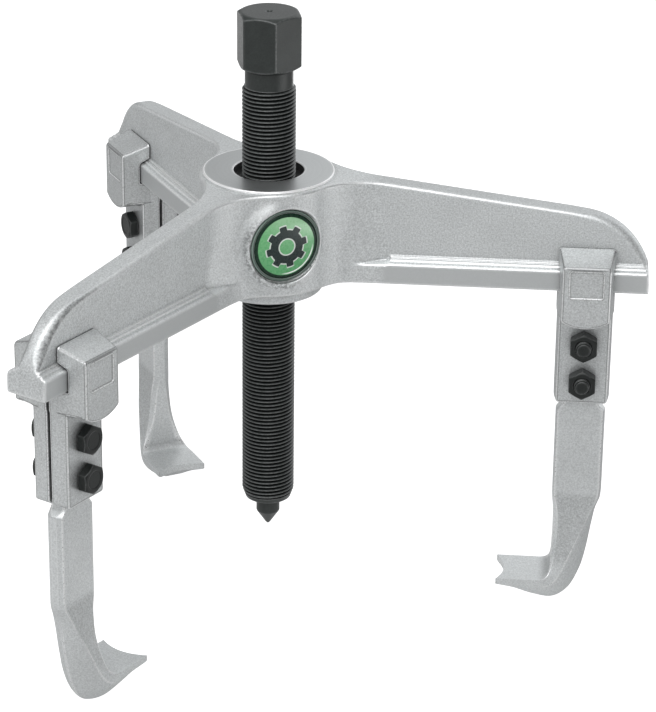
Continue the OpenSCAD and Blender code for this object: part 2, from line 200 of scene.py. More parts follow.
def field_mesh(field, low, high, step, relax=2):
    """Shell (points, faces, normals) of the surface where the field is zero."""
    low = np.array(low, float) - GRID_MARGIN * step
    high = np.array(high, float) + GRID_MARGIN * step
    values = sample_grid(field, low, high, step)
    inside = values < 0
    cells, index = crossed_cells(inside)
    points = low + cell_points(values, cells) * step
    quads = cell_quads(inside, index)
    ends = np.concatenate([quads[:, [i, (i + 1) % 4]] for i in range(4)])
    start, end = ends.T
    count = len(points)

    points = seat(field, points, step, 2)
    weight = np.bincount(start, minlength=count) + np.bincount(end, minlength=count)
    for _ in range(relax):
        # ease each point towards its neighbours, for even quads
        mean = np.zeros_like(points)
        for i in range(3):
            mean[:, i] = (np.bincount(start, points[end, i], count)
                          + np.bincount(end, points[start, i], count))
        mean /= weight[:, None]
        points = seat(field, points + 0.45 * (mean - points), step, 1)
    points = seat(field, points, step, 2)
    normals = gradient(field, points, 0.06)
    normals /= np.maximum(np.linalg.norm(normals, axis=1), 1e-9)[:, None]
    return points, [quads], normals


# ------------------------------------------------------------------ mesh tools


def with_normals(points, faces):
    """Shell with area-weighted vertex normals; faces are arrays of quads or triangles."""
    normals = np.zeros_like(points)
    for group in faces:
        corner = [points[group[:, j]] for j in range(group.shape[1])]
        if group.shape[1] == 4:
            area = np.cross(corner[2] - corner[0], corner[3] - corner[1])
        else:
            area = np.cross(corner[1] - corner[0], corner[2] - corner[0])
        for j in range(group.shape[1]):
            for i in range(3):
                normals[:, i] += np.bincount(group[:, j], area[:, i], len(points))
    length = np.maximum(np.linalg.norm(normals, axis=1), 1e-12)
    return points, faces, normals / length[:, None]


def curvature(points, faces, normals):
    """Largest convex and concave bend at each vertex, 1/mm, evened out a little."""
    sides = []
    for group in faces:
        n = group.shape[1]
        sides += [group[:, [j, (j + 1) % n]] for j in range(n)]
    edges = np.unique(np.sort(np.concatenate(sides), 1), axis=0)
    start, end = edges.T
    along = points[end] - points[start]
    length2 = np.maximum((along * along).sum(1), 1e-4)
    bend = ((normals[end] - normals[start]) * along).sum(1) / length2
    convex = np.zeros(len(points))
    concave = np.zeros(len(points))
    for vertex in (start, end):
        np.maximum.at(convex, vertex, bend)
        np.minimum.at(concave, vertex, bend)
    weight = np.maximum(np.bincount(edges.ravel(), minlength=len(points)), 1)
    for _ in range(2):
        for values in (convex, concave):
            total = (np.bincount(start, values[end], len(points))
                     + np.bincount(end, values[start], len(points)))
            values[:] = 0.5 * values + 0.5 * total / weight
    return convex, -concave


def moved(shell, place):
    """The shell carried by a 4x4 matrix."""
    points, faces, normals = shell
    turn = place[:3, :3].T
    return points @ turn + place[:3, 3], faces, normals @ turn


def join(shells):
    """Several shells as one."""
    faces, count = [], 0
    for points, groups, _ in shells:
        faces += [group + count for group in groups]
        count += len(points)
    return (np.concatenate([s[0] for s in shells]), faces,
            np.concatenate([s[2] for s in shells]))


def make(name, shell, material, body, node, bends, place=None, mirror=False, marks=None):
    """Blender object from a shell. mirror reflects y first, place then carries it.

    bends are the curvatures, 1/mm, where the "edge" and "cave" attributes start and are full;
    marks are further vertex attributes.
    """
    convex, concave = curvature(*shell)
    if mirror:
        points, faces, normals = shell
        shell = points * [1, -1, 1], [group[:, ::-1] for group in faces], normals * [1, -1, 1]
    if place is not None:
        shell = moved(shell, place)
    points, faces, normals = shell
    mesh = bpy.data.meshes.new(name)
    loops = np.concatenate([group.ravel() for group in faces])
    sizes = np.concatenate([np.full(len(group), group.shape[1]) for group in faces])
    mesh.vertices.add(len(points))
    mesh.vertices.foreach_set("co", (points * MM).astype(np.float32).ravel())
    mesh.loops.add(len(loops))
    mesh.loops.foreach_set("vertex_index", loops.astype(np.int32))
    mesh.polygons.add(len(sizes))
    mesh.polygons.foreach_set("loop_start", (np.cumsum(sizes) - sizes).astype(np.int32))
    mesh.polygons.foreach_set("use_smooth", np.ones(len(sizes), bool))
    mesh.update(calc_edges=True)
    mesh.validate()
    values = {"edge": smoothstep(convex, *bends), "cave": smoothstep(concave, *bends)}
    values.update(marks or {})
    for key, value in values.items():
        attribute = mesh.attributes.new(key, "FLOAT", "POINT")
        attribute.data.foreach_set("value", np.asarray(value, np.float32))
    mesh.normals_split_custom_set_from_vertices(normals.astype(np.float32).tolist())
    mesh.materials.append(material)
    thing = bpy.data.objects.new(name, mesh)
    bpy.context.scene.collection.objects.link(thing)
    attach(thing, body)
    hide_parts(node)


def revolve(radius, angle, z):
    """Points and faces of stacked rings (rows, bottom to top), closed on the axis."""
    rows, n = radius.shape
    points = np.stack([radius * np.cos(angle), radius * np.sin(angle), z], 2).reshape(-1, 3)
    points = np.concatenate([points, [[0, 0, z[0, 0]], [0, 0, z[-1, 0]]]])
    a = np.arange(n)
    b = (a + 1) % n
    row = np.arange(rows - 1)[:, None] * n
    quads = np.stack([row + a, row + b, row + n + b, row + n + a], 2).reshape(-1, 4)
    top = (rows - 1) * n
    centre = np.full(n, rows * n)
    caps = np.concatenate([np.stack([b, a, centre], 1),
                           np.stack([top + a, top + b, centre + 1], 1)])
    return points, [quads, caps]


def lathe(profile, segments):
    """Shell of a profile [(radius, z)], bottom to top, turned about Z."""
    profile = np.array(profile, float)
    angle = np.arange(segments) * 2 * math.pi / segments
    rows = 0 * angle
    return with_normals(*revolve(profile[:, :1] + rows, angle + 0 * profile[:, :1],
                                 profile[:, 1:] + rows))


def rounded(profile, radius, steps=4):
    """Profile with each inner corner rounded by radius, or by the point's own third value."""
    out = [tuple(profile[0][:2])]
    for i in range(1, len(profile) - 1):
        before, corner, after = [np.array(v[:2], float) for v in profile[i - 1:i + 2]]
        wanted = profile[i][2] if len(profile[i]) > 2 else radius
        back, ahead = before - corner, after - corner
        back_length, ahead_length = np.linalg.norm(back), np.linalg.norm(ahead)
        reach = min(wanted, back_length * 0.48, ahead_length * 0.48)
        start = corner + back / back_length * reach
        end = corner + ahead / ahead_length * reach
        for j in range(steps + 1):
            t = j / steps
            out.append(tuple((1 - t) ** 2 * start + 2 * t * (1 - t) * corner + t * t * end))
    out.append(tuple(profile[-1][:2]))
    return out


CREST, ROOT = 0.14, 0.80              # where the thread's flank starts and ends, half pitches
FLANK_STRAIGHT, FLANK_CURVED = 0.72, 0.28
END_RINGS = np.array([0.3, 0.65, 0.9, 0.97])[:, None]   # keep the rims of the flat ends crisp


def screw(radius, depth, pitch, bottom, top, limit, segments, turn_steps, hole=()):
    """Right-hand threaded rod. limit(z) caps the radius; hole is (radius, z) rings below."""
    levels = np.linspace(bottom, top, int(round((top - bottom) / pitch * turn_steps)) + 1)
    round_axis = np.arange(segments) * 2 * math.pi / segments
    z, angle = np.meshgrid(levels, round_axis, indexing="ij")
    phase = np.mod(z / pitch - angle / (2 * math.pi), 1.0)
    from_crest = np.abs(phase - 0.5) * 2
    sink = np.clip((from_crest - CREST) / (ROOT - CREST), 0, 1)
    sink = FLANK_STRAIGHT * sink + FLANK_CURVED * sink * sink * (3 - 2 * sink)
    r = np.minimum(radius - depth * sink, limit(z))
    first = END_RINGS[1:] if len(hole) else END_RINGS
    last = END_RINGS[::-1]
    r = np.concatenate([r[:1] * first, r, r[-1:] * last])
    z = np.concatenate([z[:1] + 0 * first, z, z[-1:] + 0 * last])
    angle = np.concatenate([angle[:1] + 0 * first, angle, angle[-1:] + 0 * last])
    if len(hole):
        rings = np.array(hole, float)
        row = 0 * angle[:1]
        r = np.concatenate([rings[:, :1] + row, r])
        z = np.concatenate([rings[:, 1:] + row, z])
        angle = np.concatenate([angle[:1] + 0 * rings[:, :1], angle])
    return revolve(r, angle, z)


# ------------------------------------------------------------------ shader tools

NOISE_SPAN = (0.3, 0.7)   # the usual spread of a noise value


class Graph:
    """Short ways to add shader nodes; a value may be a number or a socket."""

    def __init__(self, tree):
        self.tree = tree
        tree.nodes.clear()

    def node(self, kind, **settings):
        node = self.tree.nodes.new(kind)
        for key, value in settings.items():
            setattr(node, key, value)
        return node

    def put(self, socket, value):
        if isinstance(value, bpy.types.NodeSocket):
            self.tree.links.new(value, socket)
        elif value is not None:
            socket.default_value = value

    def fill(self, node, **inputs):
        """Set inputs by name, with _ for a space."""
        for key, value in inputs.items():
            self.put(node.inputs[key.replace("_", " ")], value)
        return node

    def math(self, operation, a, b=None):
        node = self.node("ShaderNodeMath", operation=operation)
        self.put(node.inputs[0], a)
        self.put(node.inputs[1], b)
        return node.outputs[0]

    def add(self, a, b):
        return self.math("ADD", a, b)

    def sub(self, a, b):
        return self.math("SUBTRACT", a, b)

    def mul(self, a, b):
        return self.math("MULTIPLY", a, b)

    def without(self, value, mask):
        return self.mul(value, self.sub(1.0, mask))

    def dim(self, value, mask, by):
        return self.without(value, self.mul(mask, by))

    def ramp(self, value, to, span=NOISE_SPAN, kind="LINEAR"):
        """Map span to the range `to`."""
        node = self.node("ShaderNodeMapRange", interpolation_type=kind)
        self.fill(node, Value=value, From_Min=span[0], From_Max=span[1],
                  To_Min=to[0], To_Max=to[1])
        return node.outputs[0]

    def fade(self, value, span=NOISE_SPAN, to=(0.0, 1.0)):
        return self.ramp(value, to, span, "SMOOTHSTEP")

    def mix(self, share, a, b):
        """Mix two colours."""
        node = self.node("ShaderNodeMix", data_type="RGBA", blend_type="MIX")
        for i, value in ((0, share), (6, a), (7, b)):
            self.put(node.inputs[i], value)
        return node.outputs[2]

    def mix_value(self, share, a, b):
        node = self.node("ShaderNodeMix", data_type="FLOAT")
        for i, value in ((0, share), (2, a), (3, b)):
            self.put(node.inputs[i], value)
        return node.outputs[0]

    def tint(self, value, cast):
        """Colour of one brightness and a cast."""
        node = self.node("ShaderNodeCombineColor")
        for i in range(3):
            self.put(node.inputs[i], self.mul(value, cast[i]))
        return node.outputs[0]

    def attr(self, name):
        return self.node("ShaderNodeAttribute", attribute_name=name).outputs["Fac"]

    def position(self):
        """Object position in mm (the pieces sit at the origin of the frame)."""
        node = self.node("ShaderNodeVectorMath", operation="SCALE")
        self.put(node.inputs[0], self.node("ShaderNodeTexCoord").outputs["Object"])
        node.inputs["Scale"].default_value = 1000
        return node.outputs[0]

    def noise(self, vector, scale, detail=2.0, roughness=0.5):
        node = self.node("ShaderNodeTexNoise")
        self.fill(node, Vector=vector, Scale=scale, Detail=detail, Roughness=roughness)
        return node.outputs["Fac"]

    def bump(self, height, strength, distance):
        node = self.node("ShaderNodeBump")
        self.fill(node, Height=height, Strength=strength, Distance=distance)
        return node.outputs[0]

    def surface(self, **inputs):
        """Principled surface, wired to the output."""
        surface = self.node("ShaderNodeBsdfPrincipled")
        self.put(self.node("ShaderNodeOutputMaterial").inputs[0], surface.outputs[0])
        self.fill(surface, **inputs)


def new_material(name):
    material = bpy.data.materials.new(name)
    material.use_nodes = True
    return material, Graph(material.node_tree)


def grey(value, cast=(1.0, 1.0, 1.0)):
    return (value * cast[0], value * cast[1], value * cast[2], 1)


# ------------------------------------------------------------------ metals

STEEL_CAST = (0.975, 1.0, 1.003)
STEEL_METALLIC = 0.72
DISC_METALLIC = 0.95


def beam_zones(g, tone, fine, pos, base):
    """Smoother rail sides, rough cast rim beside the badge, a painted highlight on the ledge's
    sloped start, and painted shade on the hub wall, the arms' upper edges and the left nose.
    """
    side = g.attr("side")
    plain = g.mul(g.ramp(fine, to=(base * 0.83, base * 0.89)), 1.0)
    tone = g.add(g.without(tone, side), g.mul(plain, side))
    rough = g.attr("rough")
    lump = g.noise(pos, scale=0.85, detail=3.0, roughness=0.75)
    lumps = g.ramp(lump, span=(0.40, 0.60), to=(base * 0.35, base * 1.25))
    tone = g.add(g.dim(tone, rough, by=0.8), g.mul(lumps, g.mul(rough, 0.8)))
    # painted highlight: the ledge's sloped start lightened
    tone = g.add(tone, g.mul(g.attr("facet_highlight"), 0.22))
    # painted shade: the hub wall, the arms' upper edges and the left nose darkened
    return g.dim(tone, g.attr("painted_shade"), by=0.30), rough


def turned_disc(g, tone, pos, base):
    """Turned rings on the hub's disc, darker towards its left as painted shade; also masks of
    the disc, its bore and its rim.
    """
    split = g.node("ShaderNodeSeparateXYZ")
    g.put(split.inputs[0], pos)
    x, y, z = split.outputs
    radius = g.math("SQRT", g.add(g.mul(x, x), g.mul(y, y)))
    disc = g.mul(g.fade(z, span=(-0.22, -0.06)), g.fade(radius, span=(24.3, 24.0)))
    wave = g.math("SINE", g.mul(radius, 20.0))
    streak = g.noise(g.mul(radius, 1.0), scale=2.6, detail=3.0, roughness=0.7)
    disc_tone = g.add(g.mul(wave, 0.010), g.ramp(streak, to=(base * 0.90, base * 1.03)))
    # painted shade: the disc darker towards its left
    disc_tone = g.mul(disc_tone, g.ramp(x, span=(-24.0, 14.0), to=(0.74, 0.98)))
    bore = g.mul(g.fade(radius, span=(13.25, 13.05)), g.fade(z, span=(-0.15, -0.5)))
    rim = g.mul(g.fade(radius, span=(23.95, 24.1)), g.fade(radius, span=(24.75, 24.65)))
    rim = g.mul(rim, g.fade(z, span=(-0.75, -0.6)))
    return g.mix_value(disc, tone, disc_tone), disc, bore, rim


def steel(name, part, base, grain, rough, edge_gain):
    """Satin plated steel: fine blasted grain, edges lightened as painted highlight and partly
    as rubbed wear, hollows darkened as painted shade.
    """
    material, g = new_material(name)
    pos = g.position()
    fine = g.noise(pos, scale=1.6, roughness=0.7)
    speck = g.noise(pos, scale=3.6, detail=1.0)
    broad = g.noise(pos, scale=0.055)
    tone = g.ramp(fine, to=(base * (1 - 0.24 * grain), base * (1 + 0.24 * grain)))
    tone = g.mul(tone, g.ramp(broad, to=(0.965, 1.03)))
    # bright spots and dark pits
    tone = g.add(tone, g.fade(speck, span=(0.63, 0.72), to=(0.0, 0.10 * grain)))
    tone = g.sub(tone, g.fade(speck, span=(0.36, 0.28), to=(0.0, 0.10 * grain)))
    if part == "beam":
        tone, rough_rim = beam_zones(g, tone, fine, pos, base)
    if part == "hook":
        band = g.attr("band")
        grit = g.ramp(fine, to=(base * 0.60, base * 1.02))
        tone = g.add(g.without(tone, band), g.mul(grit, band))
    edge = g.attr("edge")
    cave = g.attr("cave")
    wear_and_highlight = g.noise(pos, scale=0.9, roughness=0.6)
    edge = g.mul(edge, g.fade(wear_and_highlight, span=(0.25, 0.6), to=(0.70, 1.0)))
    if part == "clamp":
        # painted shade: a thin dark line where each rounded edge begins
        line = g.mul(g.fade(g.attr("edge"), span=(0.03, 0.14)),
                     g.fade(g.attr("edge"), span=(0.55, 0.35)))
        tone = g.dim(tone, line, by=0.60)
    roughness = g.ramp(fine, to=(rough - 0.04, rough + 0.06))
    if part == "beam":
        edge = g.dim(edge, rough_rim, by=0.8)
        tone, disc, bore, rim = turned_disc(g, tone, pos, base)
    if part == "hook":
        edge = g.without(edge, g.attr("claw"))
    # painted shade: colour darkened by ambient occlusion and in concave bends
    shade = g.node("ShaderNodeAmbientOcclusion", samples=4)
    g.fill(shade, Distance=0.0035)
    tone = g.mul(tone, g.ramp(shade.outputs["AO"], span=(0.15, 0.85), to=(0.50, 1.0)))
    tone = g.dim(tone, cave, by=0.12)
    # painted highlight, partly rubbed wear: convex edges mixed towards pale grey
    colour = g.mix(g.mul(edge, edge_gain), g.tint(tone, STEEL_CAST), grey(0.93))
    roughness = g.sub(roughness, g.mul(edge, 0.10))
    height = g.add(g.mul(fine, 0.75), g.mul(speck, 0.25))
    if part == "beam":
        # painted highlight: a white line round the disc's rim
        colour = g.mix(g.mul(rim, 0.85), colour, grey(1.0))
        # painted shade: the bore's inside near black
        colour = g.mix(bore, colour, grey(0.03))
        metallic = g.add(g.mul(disc, DISC_METALLIC - STEEL_METALLIC), STEEL_METALLIC)
        roughness = g.sub(roughness, g.mul(disc, 0.08))
        height = g.dim(height, disc, by=0.9)
    else:
        metallic = STEEL_METALLIC
        height = g.mul(height, 1.0)
    g.surface(Base_Color=colour, Metallic=metallic, Roughness=roughness,
              Normal=g.bump(height, strength=0.55 * grain, distance=0.00012),
              Specular_IOR_Level=0.5)
    return material


def oxide(name, base, edge, rough, root, metallic):
    """Black oxide with a green-grey cast: edges lightened as painted highlight and partly as
    rubbed wear, hollows darkened by root as painted shade.
    """
    material, g = new_material(name)
    pos = g.position()
    fine = g.noise(pos, scale=1.6, detail=3.0, roughness=0.6)
    broad = g.noise(pos, scale=0.12)
    tone = g.ramp(fine, to=(base * 0.75, base * 1.3))
    tone = g.mul(tone, g.ramp(broad, to=(0.85, 1.2)))
    colour = g.tint(tone, (0.84, 1.04, 0.97))
    # painted highlight, partly rubbed wear: convex edges lightened
    wear_and_highlight = g.noise(pos, scale=1.1, roughness=0.6)
    rubbed_and_highlit = g.mul(g.attr("edge"), g.fade(wear_and_highlight, span=(0.3, 0.65), to=(0.45, 1.0)))
    colour = g.mix(rubbed_and_highlit, colour, grey(edge, (0.95, 1.0, 0.99)))
    # painted shade: hollows such as thread roots darkened almost to black
    cave = g.attr("cave")
    colour = g.mix(g.mul(cave, root), colour, grey(0.003))
    roughness = g.ramp(fine, to=(rough - 0.05, rough + 0.08))
    g.surface(Base_Color=colour, Metallic=metallic,
              Roughness=g.add(roughness, g.mul(cave, 0.25)),
              Normal=g.bump(fine, strength=0.35, distance=0.00008),
              Specular_IOR_Level=g.sub(0.58, g.mul(cave, 0.52)))
    return material


def polished_steel():
    material, g = new_material("polished_steel")
    cloud = g.noise(g.position(), scale=2.5)
    g.surface(Base_Color=g.mix(cloud, grey(0.66), grey(0.78)), Metallic=1.0,
              Roughness=g.fade(cloud, to=(0.12, 0.2)),
              Normal=g.bump(cloud, strength=0.1, distance=0.00003))
    return material


BEAM_STEEL = steel("satin_steel_beam", "beam", base=0.62, grain=1.0, rough=0.45, edge_gain=0.4)
CLAMP_STEEL = steel("satin_steel_clamps", "clamp", base=0.57, grain=0.9, rough=0.38,
                    edge_gain=0.45)
HOOK_STEEL = steel("satin_steel_hooks", "hook", base=0.64, grain=0.7, rough=0.38, edge_gain=0.6)
SCREW_OXIDE = oxide("black_oxide_screw", base=0.019, edge=0.115, rough=0.33, root=0.95,
                    metallic=0.12)
FASTENER_OXIDE = oxide("black_oxide_fasteners", base=0.011, edge=0.07, rough=0.36, root=0.65,
                       metallic=0.35)

bright = polished_steel()
for node_name in ("thrust_ball", "point_retaining_ring"):
    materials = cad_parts[node_name].data.materials
    materials.clear()
    materials.append(bright)

# ------------------------------------------------------------------ beam

WEB_HALF = 4.4            # half thickness of an arm's web
HUB_RADIUS = 26.0
WEB_BLEND = 30.0          # concave radius between hub and web, in plan
BLEND_ALONG = math.sqrt((HUB_RADIUS + WEB_BLEND) ** 2 - (WEB_HALF + WEB_BLEND) ** 2)
BLEND_ANGLE = math.atan2(WEB_HALF + WEB_BLEND, BLEND_ALONG)
NOSE_ALONG, NOSE_Z = 116.15, RAIL + 3.0
NOSE_RADIUS = 26.4
NOSE_ARC = 82.9           # degrees; the sloped top edge leaves the nose here
TOP_SLOPE = math.radians(90 - NOSE_ARC)
RAIL_HALF = 8.5
DISC_RADIUS = 24.5
FOOT_RADIUS, FOOT_DEPTH = 20.7, 5.7
BADGE_HOLE = 13.95        # radius of the badge's seat
BORE_RADIUS = 10.15
COUNTERBORE_RADIUS, COUNTERBORE_Z = 13.1, -3.2


def fold_to_arm(x, y):
    """Radius, number of the nearest arm (0, 1, -1), and places along and across that arm."""
    radius = np.hypot(x, y)
    angle = np.arctan2(y, x)
    arm = np.round(angle / THIRD)
    off = angle - arm * THIRD
    return radius, arm, radius * np.cos(off), np.abs(radius * np.sin(off))


def badge_place(x, y, z):
    """Distance out from the spindle, sideways place and radius about the badge's axis."""
    side = x * SIN60 + y * COS60 - BADGE_X
    return x * COS60 - y * SIN60, side, np.hypot(side, z - BADGE_Z)


def web_plan(radius, along, across):
    """Hub, web and the concave blend between them, seen from above."""
    du, dv = along - BLEND_ALONG, across - (WEB_HALF + WEB_BLEND)
    blend = (du <= 0) & (-math.cos(BLEND_ANGLE) * dv + math.sin(BLEND_ANGLE) * du >= 0)
    plan = np.where(blend, WEB_BLEND - np.hypot(du, dv),
                    np.minimum(across - WEB_HALF, radius - HUB_RADIUS))
    # the hub widens towards the rails
    near = smoothstep(along, 25, 36) * smoothstep(along, 46, 36)
    return plan - 2.0 * near * smoothstep(-z_of_plan, 14, 34) if False else (plan, near)


def arm_side_view(along, z):
    """Sloped top edge and round nose of an arm."""
    a, b = along - NOSE_ALONG, z - NOSE_Z
    slope = a * math.sin(TOP_SLOPE) + b * math.cos(TOP_SLOPE) - NOSE_RADIUS
    angle = np.arctan2(b, a)
    on_arc = (angle > 0) & (angle < math.radians(NOSE_ARC))
    profile = np.where(on_arc, np.hypot(a, b) - NOSE_RADIUS,
                       np.where((b <= 0) & (a > 0), a - NOSE_RADIUS, slope))
    return clip(profile, z + 0.75, 2.0)


def rail_section(along, across, z):
    """Rail with its stepped ledge, which starts with a flatter run-out."""
    out = across - RAIL_HALF
    ledge = slant(out, z + 33.0, 0.55, 1.8)
    run_out = slant(out, z + 33.35, 0.30, 1.8)
    base = clip(out, ledge + (run_out - ledge) * smoothstep(along, 45.6, 44.4), 0.75)
    lower_step = clip(across - 6.6, z + 31.75, 0.45)
    upper_step = clip(across - 5.35, z + 30.95, 0.4)
    steps = clip(np.minimum(lower_step, upper_step), 46.0 - along, 0.4)
    return np.maximum(merge(base, steps, 0.45), 18 - along)


def beam_field(x, y, z):
    radius, _, along, across = fold_to_arm(x, y)
    plan, near_hub = web_plan(radius, along, across)
    plan = plan - 2.0 * near_hub * smoothstep(-z, 14, 34)
    # the upper edges are rounder, most of all at the nose
    edge = 0.55 + (0.75 + 2.7 * smoothstep(along, 110, 140)) * smoothstep(z, -34, -24)
    solid = merge(plan, rail_section(along, across, z), 0.6)
    solid = clip(clip(solid, arm_side_view(along, z), edge), RAIL - z, 0.7)
    # raised machined disc
    disc = np.maximum(clip(radius - DISC_RADIUS, z, 0.25), -6 - z)
    solid = merge(solid, disc, 0.3)
    # round foot
    foot = clip(radius - FOOT_RADIUS, RAIL - FOOT_DEPTH - z, 1.7)
    solid = merge(solid, np.maximum(foot, z + 30), 1.1)
    # badge boss, its faced front and the seat, the boss softer on its left
    out, side, ring = badge_place(x, y, z)
    left = smoothstep(-side, -5.0, 9.0)
    boss = np.maximum(clip(ring - 14.35 - 0.5 * left, out - 24.4, 0.45), 12 - out)
    solid = merge(solid, boss, 1.2 + 4.6 * left)
    solid = cut(solid, np.maximum(ring - 14.5, 24.4 - out), 0.45)
    solid = cut(solid, np.maximum(ring - BADGE_HOLE, BADGE_SEAT - out), 0.3)
    # screw bore, counterbore on top and chamfer below
    solid = cut(solid, np.maximum(radius - COUNTERBORE_RADIUS, COUNTERBORE_Z - z), 0.3)
    solid = cut(solid, radius - BORE_RADIUS, 0.3)
    cone = (radius - BORE_RADIUS + (z + 45.5)) * DIAGONAL
    return cut(solid, np.maximum(cone, z + 43), 0.2)


def beam_marks(points, normals):
    """Vertex masks for the zones of the beam's steel."""
    x, y, z = points.T
    nx, ny, nz = normals.T
    _, arm, along, _ = fold_to_arm(x, y)
    out, side, ring = badge_place(x, y, z)
    facing = np.abs(-nx * np.sin(arm * THIRD) + ny * np.cos(arm * THIRD))
    rail_side = (smoothstep(facing, 0.93, 0.985) * smoothstep(-z, 33.2, 33.7)
                 * smoothstep(along, 41.0, 45.5))
    # painted highlight mask: the sloped start of the ledge
    facet_highlight = (smoothstep(nz, 0.35, 0.75) * smoothstep(along, 36.0, 39.0)
             * smoothstep(along, 46.2, 45.2) * smoothstep(-z, 29.3, 30.3)
             * smoothstep(-z, 34.5, 33.8))
    # painted shade: hub wall to the upper left of the badge
    painted_shade = (smoothstep(ring, 14.2, 15.2) * smoothstep(ring, 23.0, 18.5) * (out > 8)
            * smoothstep(-nx * 0.75 + nz * 0.66, -0.10, 0.45)
            * smoothstep(-side + (z - BADGE_Z), 2.0, 14.0))
    # painted shade on the upper edge of each arm, by its own amount: right, left, back
    top = (smoothstep(nz, 0.55, 0.9) * smoothstep(along, 34.0, 46.0)
           * smoothstep(facing, 0.75, 0.45) * smoothstep(z, -29.0, -26.0))
    painted_shade = np.maximum(painted_shade, top * np.where(arm == 0, 0.55, np.where(arm == -1, 0.25, 0.15)))
    # rounded edge of the left arm's nose: painted shade, and a rough texture there too
    nose = ((arm == -1) * smoothstep(along, 96.0, 118.0) * smoothstep(facing, 0.35, 0.6)
            * smoothstep(facing, 0.99, 0.93) * smoothstep(z, -33.0, -31.0))
    # rim at the left of and below the badge
    rim = (smoothstep(ring, 14.0, 14.4) * smoothstep(ring, 18.0, 15.6) * (out > 14)
           * smoothstep(-side * 0.9 - (z - BADGE_Z) * 0.5, -2.0, 8.0))
    return {"side": rail_side, "rough": np.maximum(rim, 0.7 * nose), "facet_highlight": facet_highlight,
            "painted_shade": np.maximum(painted_shade, nose)}


def web_plan(radius, along, across):
    """Hub, web and the concave blend between them from above, and where the hub may widen."""
    du, dv = along - BLEND_ALONG, across - (WEB_HALF + WEB_BLEND)
    blend = (du <= 0) & (-math.cos(BLEND_ANGLE) * dv + math.sin(BLEND_ANGLE) * du >= 0)
    plan = np.where(blend, WEB_BLEND - np.hypot(du, dv),
                    np.minimum(across - WEB_HALF, radius - HUB_RADIUS))
    return plan, smoothstep(along, 25, 36) * smoothstep(along, 46, 36)


beam = field_mesh(beam_field, (-79.2, -128.4, -46.8), (143, 128.4, 0.1),
                  step=0.52)
make("beam_forging", beam, BEAM_STEEL, "beam_body", "beam", bends=(0.3, 1.15),
     marks=beam_marks(beam[0], beam[2]))

# ------------------------------------------------------------------ jaws
# A jaw's own frame: x away from the spindle, y across the jaw, z up.

HEAD_HALF, HEAD_FACE = 11, 16          # clamp head: half length in x, outer face in y
PLATE_HALF, PLATE_FACE = 10.5, 7.6     # clamp plate, likewise
PLATE_FOOT = -86.7


def clamp_field(x, y, z):
    """Clamp half on the +y side."""
    up = z - RAIL
    ax = np.abs(x)
    side = np.maximum(ax - HEAD_HALF, slant(ax - HEAD_HALF, y - 5, 11, 1.8))
    roof = slant(y - HEAD_FACE, up - 12.4, 3.6, 10.3)
    flat = -9 - up
    low = np.where(up > 4, flat, np.minimum(np.hypot(x, up - 4) - 16, flat))
    head = clip(side, y - HEAD_FACE, 0.55)
    head = clip(head, clip(roof, side, 1.6), 0.8)
    head = clip(head, low, 0.6)
    plate = clip(ax - PLATE_HALF, PLATE_FOOT - z, 2.0)
    plate = clip(plate, slant(ax - PLATE_HALF, y - 4.2, 3.4, 0.9), 0.6)
    plate = clip(plate, y - PLATE_FACE, 0.4)
    solid = merge(head, np.maximum(plate, z + 42), 0.8)
    # the rail, its ledge and the web pass through
    ledge = slant(y - 8.8, up - 8.3, 2.2, 4.1)
    passage = np.maximum(-0.3 - up, np.minimum(clip(y - 8.8, ledge, 0.6), y - 4.7))
    solid = cut(solid, passage, 0.45)
    solid = clip(solid, 0.6 - y, 0.35)
    # pocket for the hook's tang, bolt holes
    solid = cut(solid, np.maximum(np.maximum(ax - 6.75, y - 3.35), z + 49), 0.2)
    for bolt_z in BOLT_Z:
        solid = cut(solid, np.hypot(x, z - bolt_z) - 3.1, 0.2)
    # shallow panel in the outer face
    panel = clip(ax - 6.1, np.abs(up - 5.6) - 5.1, 0.8)
    return cut(solid, np.maximum(panel, 15.5 - y), 0.22)


# Lower hook stations, z from the rail's underside. Columns: inner x and z, outer x and z,
# half width at the inner edge; share of the depth and half width where the inner bevel ends;
# the same where the flat side ends; half width at the outer edge; bulge of the outer bend.
HOOK_FOOT = np.array([
    [-9.4, -84, 9.4, -84, 1.2, .05, 3.3, .95, 3.3, 1.2, 0],
    [-9.3, -88, 9.0, -88, 1.3, .06, 3.4, .94, 3.6, 1.1, .1],
    [-8.8, -93, 7.5, -92.5, 1.8, .1, 3.8, .9, 4.4, .8, .4],
    [-8.7, -98, 6.5, -98, 2.5, .13, 4.3, .81, 5.4, .5, .7],
    [-8.7, -104, 5.6, -104, 3.2, .14, 4.9, .68, 6.6, .3, .85],
    [-8.8, -109.5, 4.5, -111, 4.6, .11, 5.9, .54, 7.5, .2, .95],
    [-9.0, -115.2, 2.6, -119, 7.0, .05, 7.6, .4, 8.4, .2, 1],
    [-9.8, -118.8, -1.4, -127.6, 8.95, .02, 9.1, .3, 9.3, .3, 1],
    [-12.2, -120.5, -7.4, -131.8, 9.95, .03, 10.0, .25, 10.0, .6, 1],
    [-17.5, -120.6, -15, -130.6, 10.2, .03, 10.2, .25, 10.2, 1.5, .95],
    [-23.5, -120.6, -22.5, -127.2, 10.2, .03, 10.2, .35, 10.2, 4, .85],
    [-29.8, -120.6, -29.8, -123.6, 10.2, .05, 10.2, .8, 10.2, 8.8, .5],
], float)
TANG_Z = (-9, -9.5, -15, -25, -35, -44, -47.8)
BAR_Z = (-51.2, -52.5, -58, -64, -70, -76, -81)
SHOULDER = (0.0, 0.25, 0.5, 0.75, 1.0)
FOOT_STEPS = 12           # rings between foot stations

